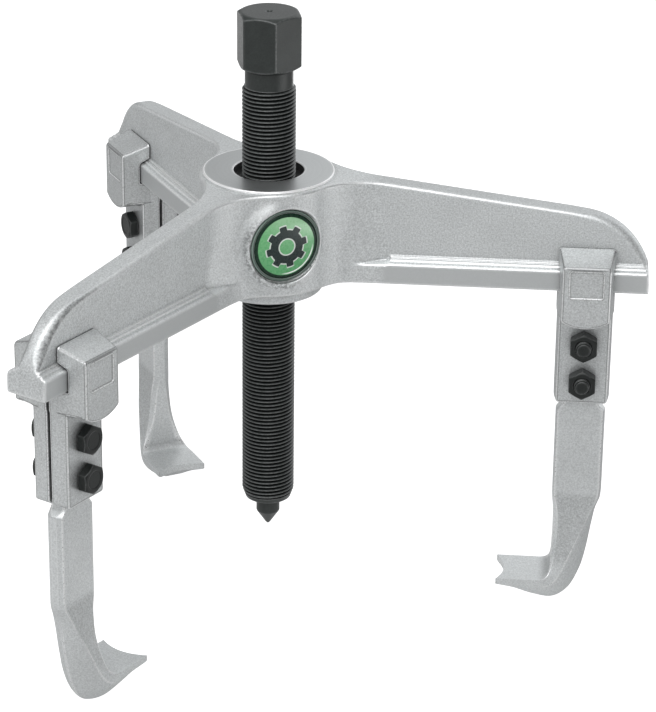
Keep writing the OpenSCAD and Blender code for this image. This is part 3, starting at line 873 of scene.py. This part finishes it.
# Points down one side of a ring, as shares of each run
LEAN = (0, 0.08, 0.2, 0.5, 0.8, 0.92)                       # inner bevel
FLAT = (0, 0.025, 0.06, 0.2, 0.5, 0.8, 0.94, 0.975, 1)      # flat side
BEND = (0.06, 0.13, 0.21, 0.29, 0.37, 0.45, 0.53,
        0.61, 0.69, 0.77, 0.84, 0.90, 0.95, 1)              # round to the outer edge
COLUMNS = 12              # columns over the inner and outer edges
CORNER = 0.16             # rounding of the hook's edges
GRIP_Z = RAIL - 120.7     # flat gripping face
HOOK_BOTTOM = RAIL - 131.86
NOTCH_DEPTH, CLAW_HALF = 3.0, 10.2   # hollow in the claw's tip, half width of the claw


def tang(z, half=6.7):
    return [-half, z, half, z, 2.9, .03, 3.3, .97, 3.3, 2.9, 0]


def bar(z, half=9.4):
    return [-half, z, half, z, 1.2, .05, 3.3, .95, 3.3, 1.2, 0]


def foot_at(place):
    """Foot station at a fractional row, by a Catmull-Rom curve."""
    last = len(HOOK_FOOT) - 1
    i = min(int(place), last - 1)
    t = place - i
    a, b, c, d = [HOOK_FOOT[max(0, min(last, j))] for j in range(i - 1, i + 3)]
    return 0.5 * (2 * b + (c - a) * t + (2 * a - 5 * b + 4 * c - d) * t * t
                  + (3 * b - a - 3 * c + d) * t ** 3)


def half_profile(lean_from, lean_end, lean_to, flat_end, flat_to, outer, bulge):
    """(share of depth, half width) down one side, from the inner to the outer edge."""
    points = [(lean_end * j, lean_from + (lean_to - lean_from) * j) for j in LEAN]
    points += [(lean_end + (flat_end - lean_end) * j, lean_to + (flat_to - lean_to) * j)
               for j in FLAT]
    arc_share = 0.62 * bulge
    for j in BEND:
        a = math.pi / 2 * j
        straight = (flat_end + (1 - flat_end) * j, flat_to + (outer - flat_to) * j)
        arc = (flat_end + (1 - flat_end) * math.sin(a), outer + (flat_to - outer) * math.cos(a))
        points.append(tuple(s * (1 - arc_share) + r * arc_share
                            for s, r in zip(straight, arc)))
    return np.array(points)


def hook_ring(station):
    """Closed ring of points (x, y, z) round the hook at one station."""
    inner, outer = np.array(station[0:2]), np.array(station[2:4])
    depth = math.hypot(outer[0] - inner[0], outer[1] - inner[1])
    half = half_profile(*station[4:])
    first, last = half[0, 1], half[-1, 1]
    # in the plane of the ring, mm: down the depth, across
    side = np.stack([half[:, 0] * depth, half[:, 1]], 1)
    inner_edge = np.stack([np.zeros(COLUMNS + 1), np.linspace(-first, first, COLUMNS + 1)], 1)
    outer_edge = np.stack([np.full(COLUMNS + 1, depth),
                           np.linspace(last, -last, COLUMNS + 1)], 1)
    loop = np.concatenate([inner_edge, side[1:], outer_edge[1:],
                           (side[1:-1] * [1, -1])[::-1]])
    # round the corners with a small moving average along the loop
    gaps = np.linalg.norm(np.roll(loop, -1, 0) - loop, axis=1)
    length = np.concatenate([[0], np.cumsum(gaps)])
    total, length = length[-1], length[:-1]
    thrice = np.concatenate([loop, loop, loop])
    thrice_length = np.concatenate([length - total, length, length + total])
    offsets = np.linspace(-1, 1, 9) * CORNER
    weights = 1 - np.abs(offsets) / (CORNER * 1.15)
    weights /= weights.sum()
    out = np.zeros_like(loop)
    for offset, weight in zip(offsets, weights):
        for i in range(2):
            out[:, i] += weight * np.interp(length + offset, thrice_length, thrice[:, i])
    xz = inner + (outer - inner) * (out[:, 0] / depth)[:, None]
    return np.stack([xz[:, 0], out[:, 1], xz[:, 1] + RAIL], 1)


def notch(y):
    return NOTCH_DEPTH * (1 - np.clip(y / CLAW_HALF, -1, 1) ** 2)


def hook_cap(points, start, ring_size, base, notched):
    """Quads and new points closing one ring: rows follow its sides, columns cross it."""
    between = (ring_size - 2 * (COLUMNS + 1)) // 2   # points of a side between the edges
    indices = np.arange(start, start + ring_size)
    inner_row, plus, outer_row, minus = np.split(
        indices, np.cumsum([COLUMNS + 1, between, COLUMNS + 1]))
    rows, extra = [list(inner_row)], []
    for m, p in zip(minus[::-1], plus):
        row = [m]
        for column in range(1, COLUMNS):
            point = points[m] + (points[p] - points[m]) * column / COLUMNS
            if notched:
                point = point + [notch(point[1]) - notch(points[p][1]), 0, 0]
            row.append(base + len(extra))
            extra.append(point)
        rows.append(row + [p])
    rows.append(list(outer_row[::-1]))
    rows = np.array(rows)
    quads = np.stack([rows[:-1, :-1], rows[1:, :-1], rows[1:, 1:], rows[:-1, 1:]], 2)
    return quads.reshape(-1, 4), extra


def hook():
    """The hook's shell and its vertex masks."""
    stations = [tang(z) for z in TANG_Z] + [tang(-48.3, 6.8)]
    upper, lower = np.array(tang(-48.5, 7.0)), np.array(bar(-50.7, 9.2))
    stations += [list(upper + (lower - upper) * t) for t in SHOULDER]
    stations += [bar(z) for z in BAR_Z]
    stations += [foot_at(i / FOOT_STEPS) for i in range((len(HOOK_FOOT) - 1) * FOOT_STEPS + 1)]
    rings = np.array([hook_ring(station) for station in stations])
    # flat gripping face, and the claw's tip hollowed by the notch
    x, y, z = rings[..., 0], rings[..., 1], rings[..., 2]
    grip = smoothstep(-x, 12.6, 14.2)
    rings[..., 2] = np.maximum(z + (np.minimum(z, GRIP_Z) - z) * grip, HOOK_BOTTOM)
    rings[..., 0] = x + notch(y) * smoothstep(-x, 20.0, 29.8)
    count, size = rings.shape[:2]
    # rough band on the flat sides between the two bends
    band = np.zeros((count, size))
    flat = COLUMNS + len(LEAN) + np.arange(len(FLAT))
    band[:, flat] = 1
    band[:, size + COLUMNS - flat] = 1
    below = RAIL - rings[..., 2]
    band *= smoothstep(below, 84.5, 88.5) * smoothstep(below, 119.5, 112.0)
    points = rings.reshape(-1, 3)
    a = np.arange(size)
    b = (a + 1) % size
    row = np.arange(count - 1)[:, None] * size
    skin = np.stack([row + a, row + b, row + size + b, row + size + a], 2).reshape(-1, 4)
    top, top_points = hook_cap(points, 0, size, len(points), notched=False)
    tip, tip_points = hook_cap(points, (count - 1) * size, size,
                               len(points) + len(top_points), notched=True)
    extra = top_points + tip_points
    points = np.concatenate([points, np.array(extra)])
    band = np.concatenate([band.ravel(), np.zeros(len(extra))])
    x, y, z = points.T
    claw = 0.9 * smoothstep(-x, 9.5, 12.5) * smoothstep(RAIL - z, 116, 119)
    faces = [np.concatenate([skin, top[:, ::-1], tip])]
    return with_normals(points, faces), {"band": band, "claw": claw}


# ------------------------------------------------------------------ fasteners

HEX_FLATS = 10.0          # across flats, nuts and bolt heads
NUT_HEIGHT = 5.0
BOLT_HEAD_HEIGHT = 4.0
BOLT_RADIUS = 3.0
BOLT_END = -22.0
CHAMFER_RADIUS = 4.75


def hexagon(x, y, flats, radius):
    """Hexagonal prism, corners along x, its edges rounded."""
    ax, ay = np.abs(x), np.abs(y)
    return clip(ay - flats / 2, ax * SIN60 + ay * COS60 - flats / 2, radius)


def chamfer(out, up):
    """30 degree chamfer from distances beyond its radius and its face."""
    return out * 0.5 + up * 0.866


def nut_field(x, y, z):
    r = np.hypot(x, y)
    solid = clip(hexagon(x, y, HEX_FLATS, 0.25), np.maximum(-z, z - NUT_HEIGHT), 0.2)
    solid = clip(solid, chamfer(r - CHAMFER_RADIUS, z - NUT_HEIGHT), 0.12)
    solid = clip(solid, chamfer(r - CHAMFER_RADIUS, -z), 0.12)
    solid = cut(solid, r - 3.05, 0.12)
    # countersink of the outer face
    return cut(solid, np.maximum((r - BOLT_RADIUS - (z - 4.6)) * DIAGONAL, 4.0 - z), 0.08)


def bolt_head_field(x, y, z):
    r = np.hypot(x, y)
    up = z - BOLT_HEAD_HEIGHT
    solid = clip(hexagon(x, y, HEX_FLATS, 0.3), up, 0.25)
    solid = clip(solid, chamfer(r - CHAMFER_RADIUS, up), 0.15)
    solid = clip(solid, 0.35 - z, 0.1)
    washer = clip(r - 4.6, np.maximum(-z, z - 1), 0.1)
    solid = np.minimum(solid, washer)
    # shallow dished face with a rim
    return cut(solid, np.maximum(r - 3.6 - up * 2, 3.82 - z), 0.15)


def bolt_limit(z):
    """Plain shank near the head, chamfer at the end."""
    tip = np.minimum(BOLT_RADIUS, 2.35 + (z - BOLT_END) * 0.9)
    return np.where(z > -13.0, 2.95, tip)


def bolt_shank():
    points, faces = screw(BOLT_RADIUS, depth=0.5, pitch=1.0, bottom=BOLT_END, top=0.4,
                          limit=bolt_limit, segments=40, turn_steps=10)
    # a small dished end: raise the bottom centre
    points[-2, 2] += 0.25
    return with_normals(points, faces)


def across_jaw(side, z):
    """Places a fastener: its z to the jaw's y (side 1 or -1), a hexagon corner down."""
    place = np.eye(4)
    place[:3, 0] = [0, 0, -1]
    place[:3, 2] = [0, side, 0]
    place[:3, 1] = np.cross(place[:3, 2], place[:3, 0])
    place[:3, 3] = [0, side * BOLT_SEAT, z]
    return place


def jaw_place(azimuth, reach):
    a = math.radians(azimuth)
    place = np.eye(4)
    place[:2, :2] = [[math.cos(a), -math.sin(a)], [math.sin(a), math.cos(a)]]
    place[:2, 3] = reach * math.cos(a), reach * math.sin(a)
    return place


clamp_shell = field_mesh(clamp_field, (-11.1, 0.5, -86.8), (11.1, 16.1, -24.5),
                         step=0.33)
hook_shell, hook_marks = hook()
fastener_step = 0.17
nut = field_mesh(nut_field, (-5.8, -5.1, 0), (5.8, 5.1, NUT_HEIGHT), fastener_step, relax=1)
bolt_head = field_mesh(bolt_head_field, (-5.8, -5.1, 0), (5.8, 5.1, BOLT_HEAD_HEIGHT),
                       fastener_step, relax=1)
shank = bolt_shank()
bolts = join([moved(part, across_jaw(1, z)) for z in BOLT_Z for part in (bolt_head, shank)])
nuts = join([moved(nut, across_jaw(-1, z)) for z in BOLT_Z])

# name, azimuth in degrees, distance from the spindle
JAWS = [("right", 0, 119.5), ("back", 120, 116.5), ("left", 240, 120.5)]
for jaw, azimuth, reach in JAWS:
    place = jaw_place(azimuth, reach)
    body = jaw + "_jaw"
    for side, mirror in (("bolt_side", False), ("nut_side", True)):
        make(jaw + "_clamp_casting_" + side, clamp_shell, CLAMP_STEEL, body,
             jaw + "_clamp_" + side, bends=(0.5, 2.0), place=place,
             mirror=mirror)
    make(jaw + "_hook_forging", hook_shell, HOOK_STEEL, body, jaw + "_hook",
         bends=(0.7, 2.4), place=place, marks=hook_marks)
    for kind, shell in (("bolts", bolts), ("nuts", nuts)):
        make(jaw + "_clamp_" + kind, shell, FASTENER_OXIDE, body, jaw + "_" + kind,
             bends=(0.8, 3.0), place=place)

# ------------------------------------------------------------------ spindle

SPINDLE_RADIUS = 10.0
SPINDLE_BOTTOM, SPINDLE_TOP = -134.5, 33.0
HEX_BOTTOM, HEX_TOP = 40.0, 61.1
HEX_CHAMFER = 10.3

# (radius, z) of the thrust ball's seat, shank bore and snap-ring groove, from the inside out
SPINDLE_BORE = [(1.5, -119.7), (3.05, -119.7), (3.05, -125.0), (3.05, -130.3),
                (4.0, -130.3), (4.0, -131.5), (3.05, -131.5), (3.05, SPINDLE_BOTTOM)]

# (radius, z, corner rounding) of the centre point, upwards
POINT_PROFILE = [
    (0.35, -147.0), (0.9, -146.45), (4.5, -141.1, 0.3), (4.5, -135.0, 0.25),
    (4.05, -134.55, 0.1), (3.0, -134.55, 0.1), (3.0, -131.45, 0.04), (2.2, -131.45, 0.04),
    (2.2, -130.35, 0.04), (3.0, -130.35, 0.04), (3.0, -126.0, 0.2), (2.7, -125.5)]
POINT_RING_GAP = 0.8      # rings of the centre point are about this far apart, mm


def spindle_limit(z):
    """Tapered lower end and chamfered upper end."""
    low = 8.7 + (z - SPINDLE_BOTTOM) * (1.3 / 3.6)
    up = np.where(z > 32.0, SPINDLE_RADIUS - (z - 32.0), 99.0)
    return np.minimum(np.minimum(SPINDLE_RADIUS, low), up)


def spindle_head_field(x, y, z):
    """Neck and hexagonal head."""
    r = np.hypot(x, y)
    a = math.radians(-73)
    along, across = x * math.cos(a) + y * math.sin(a), -x * math.sin(a) + y * math.cos(a)
    head = hexagon(along, across, 21.8, 0.45)
    head = clip(head, z - HEX_TOP, 0.35)
    head = clip(head, HEX_BOTTOM - z, 0.25)
    for beyond in (z - HEX_TOP, HEX_BOTTOM - z):
        head = clip(head, (r - HEX_CHAMFER) * 0.4903 + beyond * 0.8715, 0.3)
    neck = np.maximum(r - 9.0, 30.5 - z)
    solid = merge(head, np.maximum(neck, z - 45), 0.6)
    # conical dimple in the top
    return cut(solid, np.maximum((r - 1.3 - (z - HEX_TOP)) * DIAGONAL, 59.5 - z), 0.15)


def subdivided(profile, gap):
    """Profile with its longer runs split."""
    out = []
    for (r0, z0), (r1, z1) in zip(profile, profile[1:]):
        parts = max(1, int(math.hypot(r1 - r0, z1 - z0) / gap))
        out += [(r0 + (r1 - r0) * j / parts, z0 + (z1 - z0) * j / parts) for j in range(parts)]
    return out + [profile[-1]]


thread = with_normals(*screw(
    SPINDLE_RADIUS, depth=0.90, pitch=1.5, bottom=SPINDLE_BOTTOM, top=SPINDLE_TOP,
    limit=spindle_limit, segments=96, turn_steps=14,
    hole=SPINDLE_BORE))
spindle_head = field_mesh(spindle_head_field, (-12.7, -12.7, 30.4), (12.7, 12.7, 61.2),
                          step=0.33)
make("pressure_spindle", join([thread, spindle_head]), SCREW_OXIDE, "spindle_body", "spindle",
     bends=(0.5, 2.2))
make("centre_point_pin", lathe(subdivided(rounded(POINT_PROFILE, 0.3), POINT_RING_GAP), 72),
     SCREW_OXIDE, "point_body", "centre_point", bends=(0.6, 2.5))

# ------------------------------------------------------------------ badge
# Badge frame: z out of the badge, y up, x to its right.

AXIS = 0.0001             # radius of the rings next to the axis
DOME_RADIUS, DOME_EDGE, DOME_RISE = 12.58, 1.6, 1.14
DOME_RINGS = 25
BADGE_SEGMENTS = 128

# (radius, z, corner rounding)
BADGE_PLATE = [(AXIS, 0.0), (13.75, 0.0, 0.2), (13.75, 1.62, 0.25), (13.3, 1.88, 0.2),
               (12.85, 1.84, 0.12), (12.72, 1.5, 0.1), (12.72, 1.02, 0.05), (AXIS, 1.02)]


def badge_frame():
    place = np.eye(4)
    place[:3, 2] = [COS60, -SIN60, 0]
    place[:3, 1] = [0, 0, 1]
    place[:3, 0] = np.cross(place[:3, 1], place[:3, 2])
    place[:3, 3] = place[:3, 2] * (BADGE_SEAT + 0.05) + place[:3, 0] * BADGE_X + [0, 0, BADGE_Z]
    return place


def dome_profile():
    profile = [(AXIS, 1.06), (12.35, 1.06), (DOME_RADIUS, 1.2), (DOME_RADIUS, DOME_EDGE)]
    for i in range(1, DOME_RINGS + 1):
        r = DOME_RADIUS * (1 - i / DOME_RINGS)
        rise = DOME_RISE * (1 - (r / DOME_RADIUS) ** 2) ** 0.75
        profile.append((max(r, AXIS), DOME_EDGE + rise))
    return profile


def badge_black():
    material, g = new_material("badge_black_ring")
    cloud = g.noise(g.position(), scale=1.4, detail=3.0)
    rim = g.fade(g.attr("rad"), span=(13.25, 13.5))
    colour = g.mix(g.fade(cloud), (0.006, 0.014, 0.010, 1), (0.013, 0.026, 0.020, 1))
    colour = g.mix(rim, colour, (0.16, 0.23, 0.19, 1))
    # painted highlight on the ring's convex edges
    colour = g.mix(g.mul(g.attr("edge"), 0.5), colour, (0.30, 0.36, 0.33, 1))
    g.surface(Base_Color=colour, Metallic=0.0, Roughness=g.fade(cloud, to=(0.30, 0.42)),
              Normal=g.bump(cloud, strength=0.08, distance=0.00004),
              Coat_Weight=0.1, Coat_Roughness=0.08, Specular_IOR_Level=0.25)
    return material


def badge_green():
    """Green disc: a toothed ring printed under clear resin, painted shading lighter towards the
    top with a painted sheen, and a pale arc near its rim painted as a highlight.
    """
    material, g = new_material("badge_green_dome")
    x, y = g.attr("lx"), g.attr("ly")
    r = g.math("SQRT", g.add(g.mul(x, x), g.mul(y, y)))
    angle = g.math("ARCTAN2", y, x)
    cloud = g.noise(g.position(), scale=0.7, detail=3.0)
    # green, lighter towards the top as painted shading, then a painted sheen high up
    colour = g.mix(g.fade(y, span=(-11.0, 11.0)), (0.075, 0.335, 0.115, 1),
                   (0.14, 0.43, 0.17, 1))
    colour = g.mix(g.mul(g.fade(cloud), 0.25), colour, (0.10, 0.40, 0.16, 1))
    sheen = g.fade(g.add(y, g.mul(x, 0.25)), span=(2.0, 12.0), to=(0.0, 0.55))
    colour = g.mix(sheen, colour, (0.42, 0.62, 0.42, 1))

    def ring(outer, inner_span):
        return g.mul(g.fade(g.sub(outer, r), span=(-0.06, 0.06)), g.fade(r, span=inner_span))

    # black ring of eight teeth with a pale outline
    teeth = g.math("SINE", g.mul(angle, 8.0))
    outer = g.add(6.5, g.fade(teeth, span=(-0.25, 0.25), to=(0.0, 1.6)))
    black = ring(outer, inner_span=(3.35, 3.47))
    outline = ring(g.add(outer, 0.5), inner_span=(2.85, 2.97))
    colour = g.mix(outline, colour, (0.62, 0.68, 0.62, 1))
    colour = g.mix(black, colour, (0.010, 0.022, 0.020, 1))
    # painted highlight: a pale arc low on the right
    arc = g.mul(g.fade(r, span=(10.4, 10.55)), g.fade(r, span=(11.1, 10.95)))
    low_right = g.add(g.mul(x, 0.62), g.mul(y, -0.78))
    low_right = g.mul(g.fade(low_right, span=(6.5, 9.5)), 1.0)
    colour = g.mix(g.mul(arc, low_right), colour, (0.93, 0.95, 0.92, 1))
    rim = g.fade(r, span=(11.25, 11.4))
    colour = g.mix(rim, colour, (0.010, 0.03, 0.018, 1))
    # less shine on the black parts
    dull = g.math("MAXIMUM", rim, g.mul(black, 0.7))
    g.surface(Base_Color=colour, Metallic=0.0, Roughness=g.fade(cloud, to=(0.22, 0.34)),
              Normal=g.bump(cloud, strength=0.05, distance=0.00004),
              Coat_Weight=g.sub(1.0, g.mul(dull, 0.85)), Coat_Roughness=0.04,
              Specular_IOR_Level=g.sub(0.5, g.mul(dull, 0.35)))
    return material


plate = lathe(rounded(BADGE_PLATE, 0.2), BADGE_SEGMENTS)
make("badge_ring", plate, badge_black(), "beam_body", "badge_plate",
     bends=(0.8, 3.0), place=badge_frame(),
     marks={"rad": np.hypot(plate[0][:, 0], plate[0][:, 1])})
dome = lathe(dome_profile(), BADGE_SEGMENTS)
make("badge_dome_cap", dome, badge_green(), "beam_body", "badge_dome",
     bends=(0.8, 3.0), place=badge_frame(), marks={"lx": dome[0][:, 0], "ly": dome[0][:, 1]})

# ------------------------------------------------------------------ stage, metres

FLOOR_Z = -0.1852         # low enough to clear the centre point at the end of its travel
FLOOR_HALF = 6.0
FLOOR_SEEN = 0.80         # glow of the floor as the camera sees it
# soft lobes of the surround: azimuth, elevation, strength
LOBES = [(45, 12, 1.67), (90, 12, 0.493), (180, 12, 0.614), (225, 12, 0.27),
         (270, 12, 0.651), (315, 12, 0.167), (30, 48, 0.149), (90, 48, 0.725),
         (150, 48, 0.112), (210, 48, 0.484), (270, 48, 0.66), (0, 90, 0.549)]
LOBE_SHARPNESS = 8.0
# bright zones of the floor: x, y, radius, strength
ZONES = [(0.03, 0, 0.16, 0.381), (0.03, -0.32, 0.32, 0.093), (-0.3, -0.12, 0.32, 0.307),
         (0.75, -0.2, 0.5, 2.83), (0.03, 0.95, 0.6, 5.51)]
# soft boxes: azimuth, elevation, watts
BOXES = [(-140, 35, 1.19), (-115, 40, 2.13), (-90, 45, 2.02), (-60, 40, 1.29),
         (-100, 70, 2.94), (-150, 5, 0.093), (150, 20, 0.995)]
BOX_TARGET = Vector((0.03, 0.0, -0.06))
BOX_DISTANCE, BOX_SIZE = 1.15, 0.75


def floor_paper():
    material, g = new_material("floor_paper")
    cloud = g.noise(g.position(), scale=0.02)
    glow = 0.0
    for x, y, radius, strength in ZONES:
        distance = g.node("ShaderNodeVectorMath", operation="DISTANCE")
        g.put(distance.inputs[0], g.node("ShaderNodeNewGeometry").outputs["Position"])
        g.put(distance.inputs[1], (x, y, FLOOR_Z))
        glow = g.add(glow, g.fade(distance.outputs["Value"], span=(0.0, radius),
                                  to=(strength, 0.0)))
    seen = g.node("ShaderNodeLightPath").outputs["Is Camera Ray"]
    g.surface(Base_Color=g.mix(cloud, grey(0.50), grey(0.52)), Roughness=0.9,
              Emission_Color=grey(1.0), Emission_Strength=g.mix_value(seen, glow, FLOOR_SEEN),
              Specular_IOR_Level=0.1)
    return material


def add_floor():
    mesh = bpy.data.meshes.new("floor")
    corners = ((-1, -1), (1, -1), (1, 1), (-1, 1))
    mesh.from_pydata([(x * FLOOR_HALF, y * FLOOR_HALF, FLOOR_Z) for x, y in corners], [],
                     [(0, 1, 2, 3)])
    mesh.materials.append(floor_paper())
    floor = bpy.data.objects.new("floor", mesh)
    bpy.context.scene.collection.objects.link(floor)


def direction(azimuth, elevation):
    a, e = math.radians(azimuth), math.radians(elevation)
    return Vector((math.cos(e) * math.cos(a), math.cos(e) * math.sin(a), math.sin(e)))


def add_world():
    world = bpy.data.worlds.new("studio")
    bpy.context.scene.world = world
    world.use_nodes = True
    g = Graph(world.node_tree)
    view = g.node("ShaderNodeTexCoord").outputs["Generated"]
    total = 0.0
    for azimuth, elevation, strength in LOBES:
        dot = g.node("ShaderNodeVectorMath", operation="DOT_PRODUCT")
        g.put(dot.inputs[0], view)
        g.put(dot.inputs[1], direction(azimuth, elevation))
        lobe = g.math("MAXIMUM", dot.outputs["Value"], 0.0)
        lobe = g.mul(g.math("POWER", lobe, LOBE_SHARPNESS), strength)
        total = g.add(lobe, total)
    background = g.node("ShaderNodeBackground")
    g.fill(background, Color=(0.975, 0.99, 1.0, 1), Strength=total)
    g.put(g.node("ShaderNodeOutputWorld").inputs[0], background.outputs[0])


def add_softboxes():
    for i, (azimuth, elevation, watts) in enumerate(BOXES):
        light = bpy.data.lights.new("softbox_%d" % i, "AREA")
        light.energy = watts
        light.shape = "SQUARE"
        light.size = BOX_SIZE
        box = bpy.data.objects.new("softbox_%d" % i, light)
        toward = direction(azimuth, elevation)
        box.location = BOX_TARGET + toward * BOX_DISTANCE
        box.rotation_euler = (-toward).to_track_quat("-Z", "Y").to_euler()
        bpy.context.scene.collection.objects.link(box)


# ------------------------------------------------------------------ camera

CAMERA_PLACE = (0.1043946, -1.0703994, 0.3974790)
YAW, PITCH, ROLL = -0.076059, 0.414608, 0.0114231   # radians; yaw from +Y, pitch downwards
LENS = 155.62795          # mm


def add_camera():
    sin_yaw, cos_yaw = math.sin(YAW), math.cos(YAW)
    sin_pitch, cos_pitch = math.sin(PITCH), math.cos(PITCH)
    level_right = Vector((cos_yaw, -sin_yaw, 0))
    forward = Vector((cos_pitch * sin_yaw, cos_pitch * cos_yaw, -sin_pitch))
    level_up = Vector((sin_pitch * sin_yaw, sin_pitch * cos_yaw, cos_pitch))
    right = math.cos(ROLL) * level_right + math.sin(ROLL) * level_up
    up = math.cos(ROLL) * level_up - math.sin(ROLL) * level_right
    lens = bpy.data.cameras.new("camera")
    lens.sensor_fit = "AUTO"
    lens.sensor_width = 36.0
    lens.lens = LENS
    lens.clip_start, lens.clip_end = 0.05, 50.0
    camera = bpy.data.objects.new("camera", lens)
    rows = [(right[i], up[i], -forward[i], CAMERA_PLACE[i]) for i in range(3)]
    camera.matrix_world = Matrix(rows + [(0, 0, 0, 1)])
    bpy.context.scene.collection.objects.link(camera)
    bpy.context.scene.camera = camera


add_floor()
add_world()
add_softboxes()
add_camera()
bpy.context.scene.view_settings.view_transform = "Standard"
